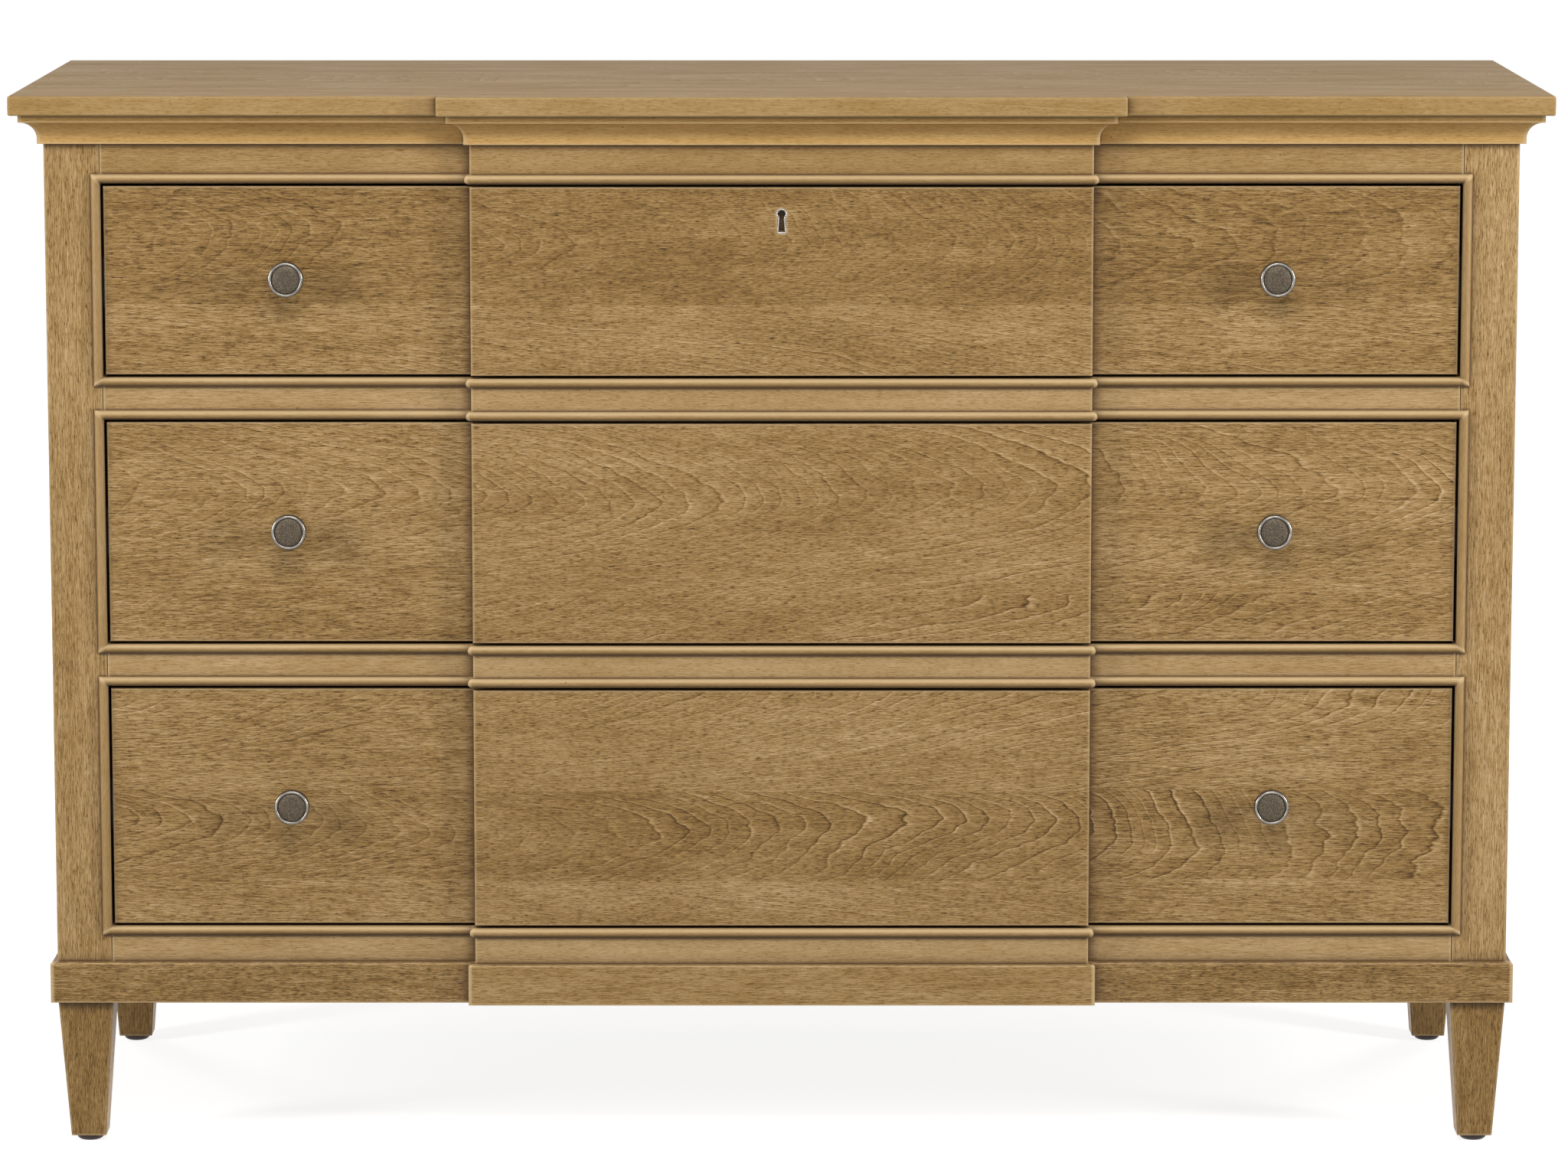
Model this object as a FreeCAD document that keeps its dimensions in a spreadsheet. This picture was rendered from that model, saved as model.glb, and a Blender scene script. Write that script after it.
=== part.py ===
# A breakfront dresser of three full-width drawers on tapered legs, in millimetres.
# The front faces -Y, +Z is up, and the origin is on the floor under the middle of the top.
import FreeCAD
import Part
import Sketcher
import math
import os
import re

# Driving sizes, grouped by the piece that they belong to
SIZES = {
    # Top board, whose middle stretch stands forward of its wings
    "top_width": 1372.0,
    "top_depth": 490.0,
    "top_thickness": 17.5,
    "top_overhang": 28.2,
    "top_edge_radius": 2.0,
    "back_overhang": 6.0,
    "break_step": 12.0,
    "centre_width": 555.5,
    # Heights of the front, from the floor up
    "glide_height": 6.0,
    "leg_length": 126.5,
    "base_height": 37.0,
    "bottom_reveal": 33.0,
    "bottom_opening": 221.0,
    "divider_height": 38.0,
    "middle_opening": 204.0,
    "top_opening": 174.0,
    "frieze_reveal": 35.5,
    # Corner posts, which run down into the legs
    "post_width": 50.0,
    "post_depth": 44.0,
    "post_arris": 1.0,
    "foot_size": 31.5,
    "glide_diameter": 25.0,
    "glide_edge_radius": 4.5,
    # Rails and the tenons that hold them in the posts
    "rail_thickness": 22.0,
    "tenon_length": 18.0,
    "tenon_thickness": 9.0,
    "tenon_shoulder": 6.0,
    "block_edge_radius": 0.8,
    # Panels let into the rails and posts
    "end_panel_thickness": 9.0,
    "panel_groove": 9.0,
    "back_thickness": 5.0,
    "back_rebate": 10.0,
    "case_bottom_thickness": 6.0,
    "case_bottom_lift": 18.0,
    # Cove cornice under the top: foot, hollow and fillet
    "cornice_foot_height": 5.0,
    "cornice_foot_projection": 5.0,
    "cove_radius": 15.0,
    "cornice_fillet": 6.5,
    # Base moulding
    "base_projection": 6.0,
    "base_edge_radius": 2.0,
    # Half-round bead planted round each drawer opening
    "bead_width": 8.2,
    "bead_flat": 0.4,
    # Drawer fronts
    "drawer_gap": 2.5,
    "front_thickness": 20.0,
    "front_edge_radius": 0.8,
    # Drawer boxes
    "box_lift": 12.0,
    "box_drop": 18.0,
    "box_back_gap": 26.0,
    "side_thickness": 12.7,
    "back_board_thickness": 12.7,
    "drawer_bottom_thickness": 6.0,
    "drawer_bottom_lift": 10.0,
    "drawer_groove": 6.0,
    "tongue_depth": 8.0,
    "tongue_neck": 6.0,
    "tongue_end": 8.5,
    "tail_pitch": 30.0,
    # Telescopic slides
    "slide_space": 12.7,
    "slide_height": 45.0,
    "slide_inner_height": 26.0,
    "slide_sheet": 1.2,
    "slide_lip": 3.0,
    "slide_clearance": 0.3,
    "slide_setback": 2.0,
    "slide_end_gap": 3.0,
    "cleat_height": 60.0,
    # Knobs: a tapered stem, a flared back, a ridged edge and a rim round a shallow dish
    "knob_foot_radius": 8.0,
    "knob_neck_radius": 6.0,
    "knob_neck_length": 8.0,
    "knob_stem_length": 18.0,
    "knob_flare_radius": 9.5,
    "knob_waist_radius": 14.4,
    "knob_radius": 15.8,
    "knob_ridge_width": 5.0,
    "knob_rim_length": 3.0,
    "knob_rim_bevel": 0.8,
    "knob_dish_radius": 12.9,
    "knob_dish_depth": 1.2,
    "knob_rise": 3.0,
    # Knob screws
    "screw_radius": 2.0,
    "screw_head_radius": 4.5,
    "screw_head_height": 2.6,
    "screw_head_top_radius": 3.2,
    "screw_grip": 8.0,
    "screw_clearance": 0.2,
    # Inlaid keyhole plate
    "keyhole_drop": 24.0,
    "keyhole_head_radius": 3.1,
    "keyhole_waist": 3.6,
    "keyhole_foot": 4.8,
    "keyhole_tail": 15.5,
    "keyhole_depth": 9.0,
    "plate_rim": 1.8,
    "plate_depth": 3.0,
    "plate_proud": 0.3,
    # How far a cutting shape runs past the piece that it cuts
    "overrun": 2.0,
}

# Shares of the dovetail pitch that a tail takes at its root and at its end
SHARES = {
    "tail_root_share": 0.5,
    "tail_end_share": 0.74,
}

LEVELS = ("bottom", "middle", "top")

# Places worked out from the driving sizes
PLACES = {
    # Half-widths
    "case_half": "top_width / 2 - top_overhang",
    "opening_half": "case_half - post_width",
    "centre_half": "centre_width / 2",
    "break_half": "centre_half + top_overhang",
    "front_half": "opening_half - drawer_gap",
    "box_half": "opening_half - slide_space",
    "box_inner_half": "box_half - side_thickness",
    "panel_inner_half": "case_half - (rail_thickness + end_panel_thickness) / 2",
    "knob_half": "(centre_half + front_half) / 2",
    # Depths, from front to back
    "top_back": "(top_depth + break_step) / 2",
    "top_front": "top_back - top_depth",
    "face": "top_front + top_overhang",
    "centre_face": "face - break_step",
    "front_post_back": "face + post_depth",
    "front_back": "face + front_thickness",
    "case_back": "top_back - back_overhang",
    "rear_post_front": "case_back - post_depth",
    "back_panel_front": "case_back - back_thickness",
    "box_end": "back_panel_front - box_back_gap",
    "slide_front": "front_back + slide_setback",
    "slide_length": "box_end - slide_end_gap - slide_front",
    # Foot of a drawer's back board, above the foot of its box
    "back_lift": "drawer_bottom_lift + drawer_bottom_thickness",
    # Heights, from the floor up
    "base_foot": "glide_height + leg_length",
    "base_top": "base_foot + base_height",
    "bottom_opening_foot": "base_top + bottom_reveal",
    "lower_divider_foot": "bottom_opening_foot + bottom_opening",
    "middle_opening_foot": "lower_divider_foot + divider_height",
    "upper_divider_foot": "middle_opening_foot + middle_opening",
    "top_opening_foot": "upper_divider_foot + divider_height",
    "frieze_foot": "top_opening_foot + top_opening",
    "cornice_foot": "frieze_foot + frieze_reveal",
    "cornice_height": "cornice_foot_height + cove_radius + cornice_fillet",
    "top_foot": "cornice_foot + cornice_height",
    # Projections of the mouldings
    "cornice_projection": "cornice_foot_projection + cove_radius",
    "bead_radius": "bead_width / 2",
    "bead_projection": "bead_flat + bead_radius",
    # Edges of the three slide members, measured from the post towards the drawer
    "case_flange": "slide_space - 2 * slide_sheet",
    "race_back": "slide_sheet + slide_clearance",
    "race_front": "case_flange - slide_sheet - slide_clearance",
    "race_half": "slide_height / 2 - slide_sheet - slide_clearance",
    "race_inner_half": "slide_inner_height / 2 + slide_clearance",
    "drawer_flange": "2 * race_back",
    # Knob, measured out from the drawer front
    "knob_ridge_end": "knob_stem_length + knob_ridge_width",
    "knob_length": "knob_ridge_end + knob_rim_length",
    "knob_ridge_rise": "knob_radius - knob_waist_radius",
    "knob_ridge_radius": "((knob_ridge_width / 2) ^ 2 + knob_ridge_rise ^ 2) / (2 * knob_ridge_rise)",
    # Keyhole outlines
    "keyhole_waist_drop": "sqrt(keyhole_head_radius ^ 2 - (keyhole_waist / 2) ^ 2)",
    "plate_radius": "keyhole_head_radius + plate_rim",
    "plate_waist": "keyhole_waist + 2 * plate_rim",
    "plate_foot": "keyhole_foot + 2 * plate_rim",
    "plate_tail": "keyhole_tail + plate_rim",
    "plate_waist_drop": "sqrt(plate_radius ^ 2 - (plate_waist / 2) ^ 2)",
}

# Places that each drawer level has
for level in LEVELS:
    PLACES.update({
        f"{level}_front_foot": f"{level}_opening_foot + drawer_gap",
        f"{level}_front_height": f"{level}_opening - 2 * drawer_gap",
        f"{level}_box_foot": f"{level}_opening_foot + box_lift",
        f"{level}_box_height": f"{level}_opening - box_lift - box_drop",
        f"{level}_slide_middle": f"{level}_box_foot + {level}_box_height / 2",
        f"{level}_back_height": f"{level}_box_height - back_lift",
        f"{level}_tail_count": f"max(2; round({level}_back_height / tail_pitch))",
        f"{level}_tail_step": f"{level}_back_height / {level}_tail_count",
    })

ORIGIN = FreeCAD.Vector(0, 0, 0)
X_AXIS = FreeCAD.Vector(1, 0, 0)
Y_AXIS = FreeCAD.Vector(0, 1, 0)
Z_AXIS = FreeCAD.Vector(0, 0, 1)

doc = FreeCAD.newDocument("Dresser")
nodes = []


def named(text):
    """Return an expression with each named value given its sheet."""
    def with_sheet(match):
        word = match.group(0)
        if word in SIZES or word in SHARES:
            return "Sizes." + word
        if word in PLACES:
            return "Places." + word
        return word
    return re.sub(r"[a-z_]+", with_sheet, text)


def fill_sheet(name, values):
    """Make a spreadsheet with one named row for each value."""
    sheet = doc.addObject("Spreadsheet::Sheet", name)
    for row, (alias, content) in enumerate(values.items(), start=1):
        sheet.set(f"A{row}", alias)
        sheet.set(f"B{row}", content)
        sheet.setAlias(f"B{row}", alias)
    return sheet


fill_sheet("Sizes", {name: str(size) for name, size in {**SIZES, **SHARES}.items()})
places = fill_sheet("Places", {
    name: "=" + named(text).replace("Places.", "") for name, text in PLACES.items()
})
doc.recompute()


def bind(item, field, text):
    """Tie one property to the named sizes."""
    item.setExpression(field, named(text))


def value(text):
    """Work out an expression from the sheets as they stand."""
    return float(places.evalExpression(named(text)))


def place(item, x="0", y="0", z="0", axis=Z_AXIS, turn=0):
    """Turn a piece about an axis and tie its position to the named sizes."""
    item.Placement = FreeCAD.Placement(ORIGIN, FreeCAD.Rotation(axis, turn))
    bind(item, "Placement.Base.x", x)
    bind(item, "Placement.Base.y", y)
    bind(item, "Placement.Base.z", z)
    return item


def node(item, label):
    """Mark a finished piece as one that is written out under its label."""
    item.Label = label
    nodes.append(item)
    return item


def board(name, low, size):
    """A plain board from its low corner and its three sizes."""
    box = doc.addObject("Part::Box", name)
    bind(box, "Length", size[0])
    bind(box, "Width", size[1])
    bind(box, "Height", size[2])
    return place(box, *low)


def group(name, items):
    """Several solids kept together, each still a solid of its own."""
    compound = doc.addObject("Part::Compound", name)
    compound.Links = items
    return compound


def copy_at(name, item, x="0", y="0", z="0"):
    """The same solid again, moved."""
    return place(group(name, [item]), x, y, z)


def mirrored(name, item, normal=X_AXIS):
    """The opposite-hand copy of a piece, across the plane through the origin."""
    mirror = doc.addObject("Part::Mirroring", name)
    mirror.Source = item
    mirror.Normal = normal
    return mirror


def pair(name, item):
    """A left-hand piece with its right-hand copy."""
    return group(name, [item, mirrored(name + "_right", item)])


def cut(name, base, tools):
    """A piece with the shapes of others taken out of it."""
    result = doc.addObject("Part::Cut", name)
    result.Base = base
    result.Tool = tools[0] if len(tools) == 1 else group(name + "_tools", tools)
    return result


def fuse(name, base, tool):
    """Two shapes made into one solid."""
    result = doc.addObject("Part::Fuse", name)
    result.Base = base
    result.Tool = tool
    result.Refine = True
    return result


def new_body(name):
    return doc.addObject("PartDesign::Body", name)


def arc_between(start, end, radius, turn, long_way):
    """The arc from start to end that bends left (turn 1) or right (turn -1)."""
    chord = end - start
    half = chord.Length / 2
    rise = math.sqrt(max(0.0, radius ** 2 - half ** 2))
    sagitta = radius + rise if long_way else radius - rise
    outward = FreeCAD.Vector(chord.y, -chord.x, 0).normalize() * turn
    middle = (start + end) / 2 + outward * sagitta
    if turn > 0:
        return Part.Arc(start, middle, end)
    return Part.Arc(end, middle, start)


def outline(sketch, points, arcs=None):
    """Add a closed outline whose corners, and the radii of whose arcs, follow the named sizes.

    arcs gives a span's radius, its turn and whether it goes the long way, by the span's first corner.
    """
    arcs = arcs or {}
    corners = [FreeCAD.Vector(value(u), value(v), 0) for u, v in points]
    count = len(corners)
    spans = []
    for index, start in enumerate(corners):
        end = corners[(index + 1) % count]
        if index in arcs:
            radius, turn, long_way = arcs[index]
            geometry = sketch.addGeometry(arc_between(start, end, value(radius), turn, long_way))
            limit = sketch.addConstraint(Sketcher.Constraint("Radius", geometry, value(radius)))
            bind(sketch, f"Constraints[{limit}]", radius)
            spans.append((geometry, 1, 2) if turn > 0 else (geometry, 2, 1))
        else:
            spans.append((sketch.addGeometry(Part.LineSegment(start, end)), 1, 2))
    for index, (geometry, _, last) in enumerate(spans):
        following, follows_first, _ = spans[(index + 1) % count]
        sketch.addConstraint(Sketcher.Constraint("Coincident", geometry, last, following, follows_first))
    for (geometry, first, _), corner, texts in zip(spans, corners, points):
        for kind, length, text in zip(("DistanceX", "DistanceY"), corner, texts):
            limit = sketch.addConstraint(Sketcher.Constraint(kind, -1, 1, geometry, first, length))
            bind(sketch, f"Constraints[{limit}]", text)


def sketch_on(body, plane, points, arcs=None, offset="0"):
    """A sketch of one closed outline on an origin plane of a body."""
    sketch = body.newObject("Sketcher::SketchObject", "Outline")
    support = next(item for item in body.Origin.OriginFeatures if item.Role == plane)
    sketch.AttachmentSupport = [(support, "")]
    sketch.MapMode = "FlatFace"
    bind(sketch, "AttachmentOffset.Base.z", offset)
    outline(sketch, points, arcs)
    return sketch


def rectangle(low_u, low_v, high_u, high_v):
    return [(low_u, low_v), (high_u, low_v), (high_u, high_v), (low_u, high_v)]


def pad(body, sketch, length, backwards=False):
    feature = body.newObject("PartDesign::Pad", "Pad")
    feature.Profile = sketch
    feature.Reversed = backwards
    bind(feature, "Length", length)
    return feature


def pocket(body, sketch, length, backwards=False):
    """Cut a sketch into a body, and make sure that it took something away."""
    doc.recompute()
    before = body.Shape.Volume
    feature = body.newObject("PartDesign::Pocket", "Pocket")
    feature.Profile = sketch
    feature.Reversed = backwards
    bind(feature, "Length", length)
    doc.recompute()
    if not body.Shape.Volume < before:
        raise ValueError(f"{body.Name}: a pocket cut nothing")
    return feature


def revolve(body, sketch):
    feature = body.newObject("PartDesign::Revolution", "Turned")
    feature.Profile = sketch
    feature.ReferenceAxis = (sketch, ["V_Axis"])
    feature.Angle = 360
    return feature


def repeat_up(body, feature, count, step):
    """Repeat a feature up the Z axis of its body."""
    pattern = body.newObject("PartDesign::LinearPattern", "Row")
    pattern.Originals = [feature]
    axis = next(item for item in body.Origin.OriginFeatures if item.Role == "Z_Axis")
    pattern.Direction = (axis, [""])
    bind(pattern, "Occurrences", count)
    bind(pattern, "Length", f"({count} - 1) * {step}")
    body.Tip = pattern
    return pattern


def ease(body, feature, radius, chosen):
    """Round the edges of a feature that a test picks out."""
    doc.recompute()
    edges = [f"Edge{i}" for i, edge in enumerate(feature.Shape.Edges, start=1) if chosen(edge)]
    rounding = body.newObject("PartDesign::Fillet", "Eased")
    rounding.Base = (feature, edges)
    bind(rounding, "Radius", radius)
    return rounding


def flat_at(edge, axis, place_text):
    """Tell whether an edge lies in the plane across an axis at a given place."""
    box = edge.BoundBox
    low = getattr(box, axis + "Min")
    high = getattr(box, axis + "Max")
    return math.isclose(low, high, abs_tol=1e-6) and math.isclose(low, value(place_text), abs_tol=1e-6)


def upright(edge):
    box = edge.BoundBox
    return box.ZLength > box.XLength + box.YLength


# Top board


def make_top():
    body = new_body("TopPanel")
    sketch = sketch_on(body, "XY_Plane", [
        ("-top_width / 2", "top_front"),
        ("-break_half", "top_front"),
        ("-break_half", "top_front - break_step"),
        ("break_half", "top_front - break_step"),
        ("break_half", "top_front"),
        ("top_width / 2", "top_front"),
        ("top_width / 2", "top_back"),
        ("-top_width / 2", "top_back"),
    ])
    blank = pad(body, sketch, "top_thickness")

    def outward(edge):
        middle = edge.BoundBox.Center
        on_step = math.isclose(abs(middle.x), value("break_half"), abs_tol=1e-6)
        in_corner = on_step and math.isclose(middle.y, value("top_front"), abs_tol=1e-6)
        return not (upright(edge) and in_corner)

    ease(body, blank, "top_edge_radius", outward)
    node(place(body, z="top_foot"), "top_panel")


# Corner posts and the legs below them


def arrised(half_u, half_v):
    """A rectangle about the origin with its four sharp corners planed off."""
    inner_u = f"({half_u} - post_arris)"
    inner_v = f"({half_v} - post_arris)"
    quarter = [(half_u, inner_v), (inner_u, half_v)]
    left = [(f"-{u}", v) for u, v in reversed(quarter)]
    upper = quarter + left
    return upper + [(u, f"-{v}") for u, v in reversed(upper)]


def make_post_blank(name, x, y):
    """A square post with its leg tapered on all four sides."""
    body = new_body(name)
    section = arrised("post_width / 2", "post_depth / 2")
    pad(body, sketch_on(body, "XY_Plane", section), "top_foot - base_foot")
    leg = body.newObject("PartDesign::AdditiveLoft", "Leg")
    leg.Profile = sketch_on(body, "XY_Plane", section)
    leg.Sections = [
        sketch_on(body, "XY_Plane", arrised("foot_size / 2", "foot_size / 2"), offset="-leg_length"),
    ]
    leg.Ruled = True
    return place(body, x, y, "base_foot")


# Rails with tenons, along X or along Y


def make_rail(name, axis, low, length, height):
    """A rail with a shouldered tenon at each end, from its low corner between the posts."""
    along = 0 if axis == "x" else 1
    across = 1 - along
    size = ["rail_thickness", "rail_thickness", height]
    size[along] = length
    rail = board(name + "_rail", low, size)
    bar_low = list(low)
    bar_low[along] = f"{low[along]} - tenon_length"
    bar_low[across] = f"{low[across]} + (rail_thickness - tenon_thickness) / 2"
    bar_low[2] = f"{low[2]} + tenon_shoulder"
    bar_size = ["tenon_thickness", "tenon_thickness", f"{height} - 2 * tenon_shoulder"]
    bar_size[along] = f"{length} + 2 * tenon_length"
    return fuse(name, rail, board(name + "_tenons", bar_low, bar_size))


def make_frame():
    """Posts, rails and panels, each joint cut by the piece that fits into it."""
    left = "-case_half + post_width / 2"
    front_blank = make_post_blank("FrontPost", left, "face + post_depth / 2")
    rear_blank = make_post_blank("RearPost", left, "case_back - post_depth / 2")
    front_blanks = pair("FrontPosts", front_blank)
    rear_blanks = pair("RearPosts", rear_blank)

    def front_rail(name, foot, height):
        return make_rail(name, "x", ("-opening_half", "face", foot), "2 * opening_half", height)

    frieze = front_rail("Frieze", "frieze_foot", "top_foot - frieze_foot")
    upper = front_rail("UpperDivider", "upper_divider_foot", "divider_height")
    lower = front_rail("LowerDivider", "lower_divider_foot", "divider_height")
    bottom = front_rail("BottomRail", "base_foot", "bottom_opening_foot - base_foot")

    def rear_rail(name, foot, height):
        low = ("-opening_half", "back_panel_front - rail_thickness", foot)
        return make_rail(name, "x", low, "2 * opening_half", height)

    rear_top = rear_rail("RearTopRail", "frieze_foot", "top_foot - frieze_foot")
    rear_bottom = rear_rail("RearBottomRail", "base_foot", "bottom_opening_foot - base_foot")

    def side_rail(name, foot, height):
        low = ("-case_half", "front_post_back", foot)
        return make_rail(name, "y", low, "rear_post_front - front_post_back", height)

    side_top = side_rail("SideTopRail", "frieze_foot", "top_foot - frieze_foot")
    side_bottom = side_rail("SideBottomRail", "base_foot", "bottom_opening_foot - base_foot")

    end_panel = board(
        "EndPanel",
        (
            "-panel_inner_half - end_panel_thickness",
            "front_post_back - panel_groove",
            "bottom_opening_foot - panel_groove",
        ),
        (
            "end_panel_thickness",
            "rear_post_front - front_post_back + 2 * panel_groove",
            "frieze_foot - bottom_opening_foot + 2 * panel_groove",
        ),
    )
    back_panel = board(
        "BackPanel",
        ("-opening_half - back_rebate", "back_panel_front", "base_foot"),
        ("2 * (opening_half + back_rebate)", "back_thickness", "top_foot - base_foot"),
    )
    bottom_blank = board(
        "CaseBottomBlank",
        (
            "-case_half + rail_thickness - panel_groove",
            "face + rail_thickness - panel_groove",
            "base_foot + case_bottom_lift",
        ),
        (
            "2 * (case_half - rail_thickness + panel_groove)",
            "back_panel_front - face - 2 * (rail_thickness - panel_groove)",
            "case_bottom_thickness",
        ),
    )
    case_bottom = cut("CaseBottom", bottom_blank, [front_blanks, rear_blanks])

    side_tools = [side_top, side_bottom, end_panel]
    front_post = cut("FrontLeftPost", front_blank, [frieze, upper, lower, bottom] + side_tools)
    rear_post = cut("RearLeftPost", rear_blank, [rear_top, rear_bottom, back_panel] + side_tools)
    grooved_bottom = cut("GroovedBottomRail", bottom, [case_bottom])
    grooved_rear = cut("GroovedRearRail", rear_bottom, [case_bottom])
    grooved_top_side = cut("GroovedTopSide", side_top, [end_panel])
    grooved_bottom_side = cut("GroovedBottomSide", side_bottom, [end_panel, case_bottom])
    left_rails = group("LeftSideRails", [grooved_top_side, grooved_bottom_side])

    node(front_post, "front_left_post")
    node(mirrored("FrontRightPost", front_post), "front_right_post")
    node(rear_post, "rear_left_post")
    node(mirrored("RearRightPost", rear_post), "rear_right_post")
    node(frieze, "frieze_rail")
    node(upper, "upper_divider_rail")
    node(lower, "lower_divider_rail")
    node(grooved_bottom, "bottom_rail")
    node(group("RearRails", [rear_top, grooved_rear]), "rear_rails")
    node(left_rails, "left_side_rails")
    node(mirrored("RightSideRails", left_rails), "right_side_rails")
    node(end_panel, "left_end_panel")
    node(mirrored("RightEndPanel", end_panel), "right_end_panel")
    node(back_panel, "back_panel")
    node(case_bottom, "case_bottom")


def make_centre_block(name, foot, height):
    """The block that brings one rail forward to the centre plane."""
    body = new_body(name)
    sketch = sketch_on(body, "XZ_Plane", rectangle("-centre_half", "0", "centre_half", height))
    blank = pad(body, sketch, "break_step")
    ease(body, blank, "block_edge_radius", lambda edge: upright(edge) and flat_at(edge, "Y", "-break_step"))
    return place(body, y="face", z=foot)


def make_centre_blocks():
    blocks = [
        make_centre_block("FriezeBlock", "frieze_foot", "top_foot - frieze_foot"),
        make_centre_block("UpperBlock", "upper_divider_foot", "divider_height"),
        make_centre_block("LowerBlock", "lower_divider_foot", "divider_height"),
        make_centre_block("BottomBlock", "base_foot", "bottom_opening_foot - base_foot"),
    ]
    node(group("RailCentreBlocks", blocks), "rail_centre_blocks")


# Mouldings: a profile run along the local X axis, standing out towards -Y from the wall at Y = 0


def mitre_points(kind, depth, at_end, length):
    """The triangle that a mitre takes off one end of a run.

    An outer mitre lengthens the run as the profile stands out, an inner one shortens it,
    and a frame mitre lengthens it as the profile rises.
    """
    far = f"({depth} + overrun)"
    points = {
        "outer": [("overrun", "overrun"), (f"-{far}", f"-{far}"), (f"-{far}", "overrun")],
        "inner": [("-overrun", "overrun"), (far, f"-{far}"), ("-overrun", f"-{far}")],
        "frame": [("overrun", "-overrun"), (f"-{far}", far), (f"-{far}", "-overrun")],
    }[kind]
    if at_end:
        return [(f"{length} - ({along})", across) for along, across in points]
    return points


def moulding(name, profile, arcs, depth, height, length, start, end):
    """One straight run of a moulding with its two ends cut as named: square, outer, inner or frame."""
    body = new_body(name)
    reach = {"square": "0", "inner": "0", "outer": depth, "frame": height}
    sketch = sketch_on(body, "YZ_Plane", profile, arcs, offset=f"-({reach[start]})")
    pad(body, sketch, f"{length} + {reach[start]} + {reach[end]}")
    for kind, at_end in ((start, False), (end, True)):
        if kind == "square":
            continue
        plane = "XZ_Plane" if kind == "frame" else "XY_Plane"
        triangle = mitre_points(kind, height if kind == "frame" else depth, at_end, length)
        flat = sketch_on(body, plane, triangle)
        pocket(body, flat, depth if kind == "frame" else height, backwards=True)
    return body


def moulding_set(name, profile, arcs, depth, height, foot):
    """The runs of a moulding that goes round the case: left side, left wing, left return and centre."""
    shape = (profile, arcs, depth, height)
    wing_length = "case_half - centre_half"
    side = moulding(name + "Side", *shape, "case_back - face", "square", "outer")
    wing = moulding(name + "Wing", *shape, wing_length, "outer", "inner")
    back_step = moulding(name + "Return", *shape, "break_step", "inner", "outer")
    centre = moulding(name + "Centre", *shape, "2 * centre_half", "outer", "outer")
    place(side, "-case_half", "case_back", foot, turn=-90)
    place(wing, "-case_half", "face", foot)
    place(back_step, "-centre_half", "face", foot, turn=-90)
    place(centre, "-centre_half", "centre_face", foot)
    left = group(name + "Left", [side, wing])
    label = name.lower()
    node(left, label + "_left")
    node(mirrored(name + "Right", left), label + "_right")
    node(group(name + "Middle", [pair(name + "Returns", back_step), centre]), label + "_centre")


def make_cornice():
    cove_foot = "cornice_foot_height + cove_radius"
    profile = [
        ("0", "0"),
        ("0", "cornice_height"),
        ("-cornice_projection", "cornice_height"),
        ("-cornice_projection", cove_foot),
        ("-cornice_foot_projection", "cornice_foot_height"),
        ("-cornice_foot_projection", "0"),
    ]
    hollow = {3: ("cove_radius", -1, False)}
    moulding_set("Cornice", profile, hollow, "cornice_projection", "cornice_height", "cornice_foot")


def make_base():
    profile = [
        ("0", "0"),
        ("0", "base_height"),
        ("-base_projection + base_edge_radius", "base_height"),
        ("-base_projection", "base_height - base_edge_radius"),
        ("-base_projection", "0"),
    ]
    rounded = {2: ("base_edge_radius", 1, False)}
    moulding_set("Base", profile, rounded, "base_projection", "base_height", "base_foot")


# Beads round the drawer openings


def make_beads():
    profile = [
        ("0", "0"),
        ("0", "bead_width"),
        ("-bead_flat", "bead_width"),
        ("-bead_projection", "bead_radius"),
        ("-bead_flat", "0"),
    ]
    nose = {2: ("bead_radius", 1, False), 3: ("bead_radius", 1, False)}
    shape = (profile, nose, "bead_projection", "bead_width")
    wing = moulding("BeadWing", *shape, "opening_half - centre_half", "frame", "inner")
    back_step = moulding("BeadReturn", *shape, "break_step", "inner", "outer")
    centre = moulding("BeadCentre", *shape, "2 * centre_half", "outer", "outer")
    place(wing, "-opening_half", "face")
    place(back_step, "-centre_half", "face", turn=-90)
    place(centre, "-centre_half", "centre_face")
    over = group("BeadOver", [pair("BeadEnds", group("BeadEnd", [wing, back_step])), centre])
    under = mirrored("BeadUnder", over, Z_AXIS)
    for level in LEVELS:
        stile = moulding(f"BeadStile_{level}", *shape, f"{level}_opening", "frame", "frame")
        place(stile, "-opening_half", "face", f"{level}_opening_foot", axis=Y_AXIS, turn=-90)
        frame = group(f"Bead_{level}", [
            pair(f"BeadStiles_{level}", stile),
            copy_at(f"BeadOver_{level}", over, z=f"{level}_opening_foot + {level}_opening"),
            copy_at(f"BeadUnder_{level}", under, z=f"{level}_opening_foot"),
        ])
        node(frame, f"{level}_opening_bead")


# Slides and the cleats that carry them


def slide_member(name, points):
    """A rolled slide member, its section drawn from the post towards the drawer."""
    body = new_body(name)
    pad(body, sketch_on(body, "XZ_Plane", points), "slide_length", backwards=True)
    return pair(name + "s", place(body, "-opening_half", "slide_front"))


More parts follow.
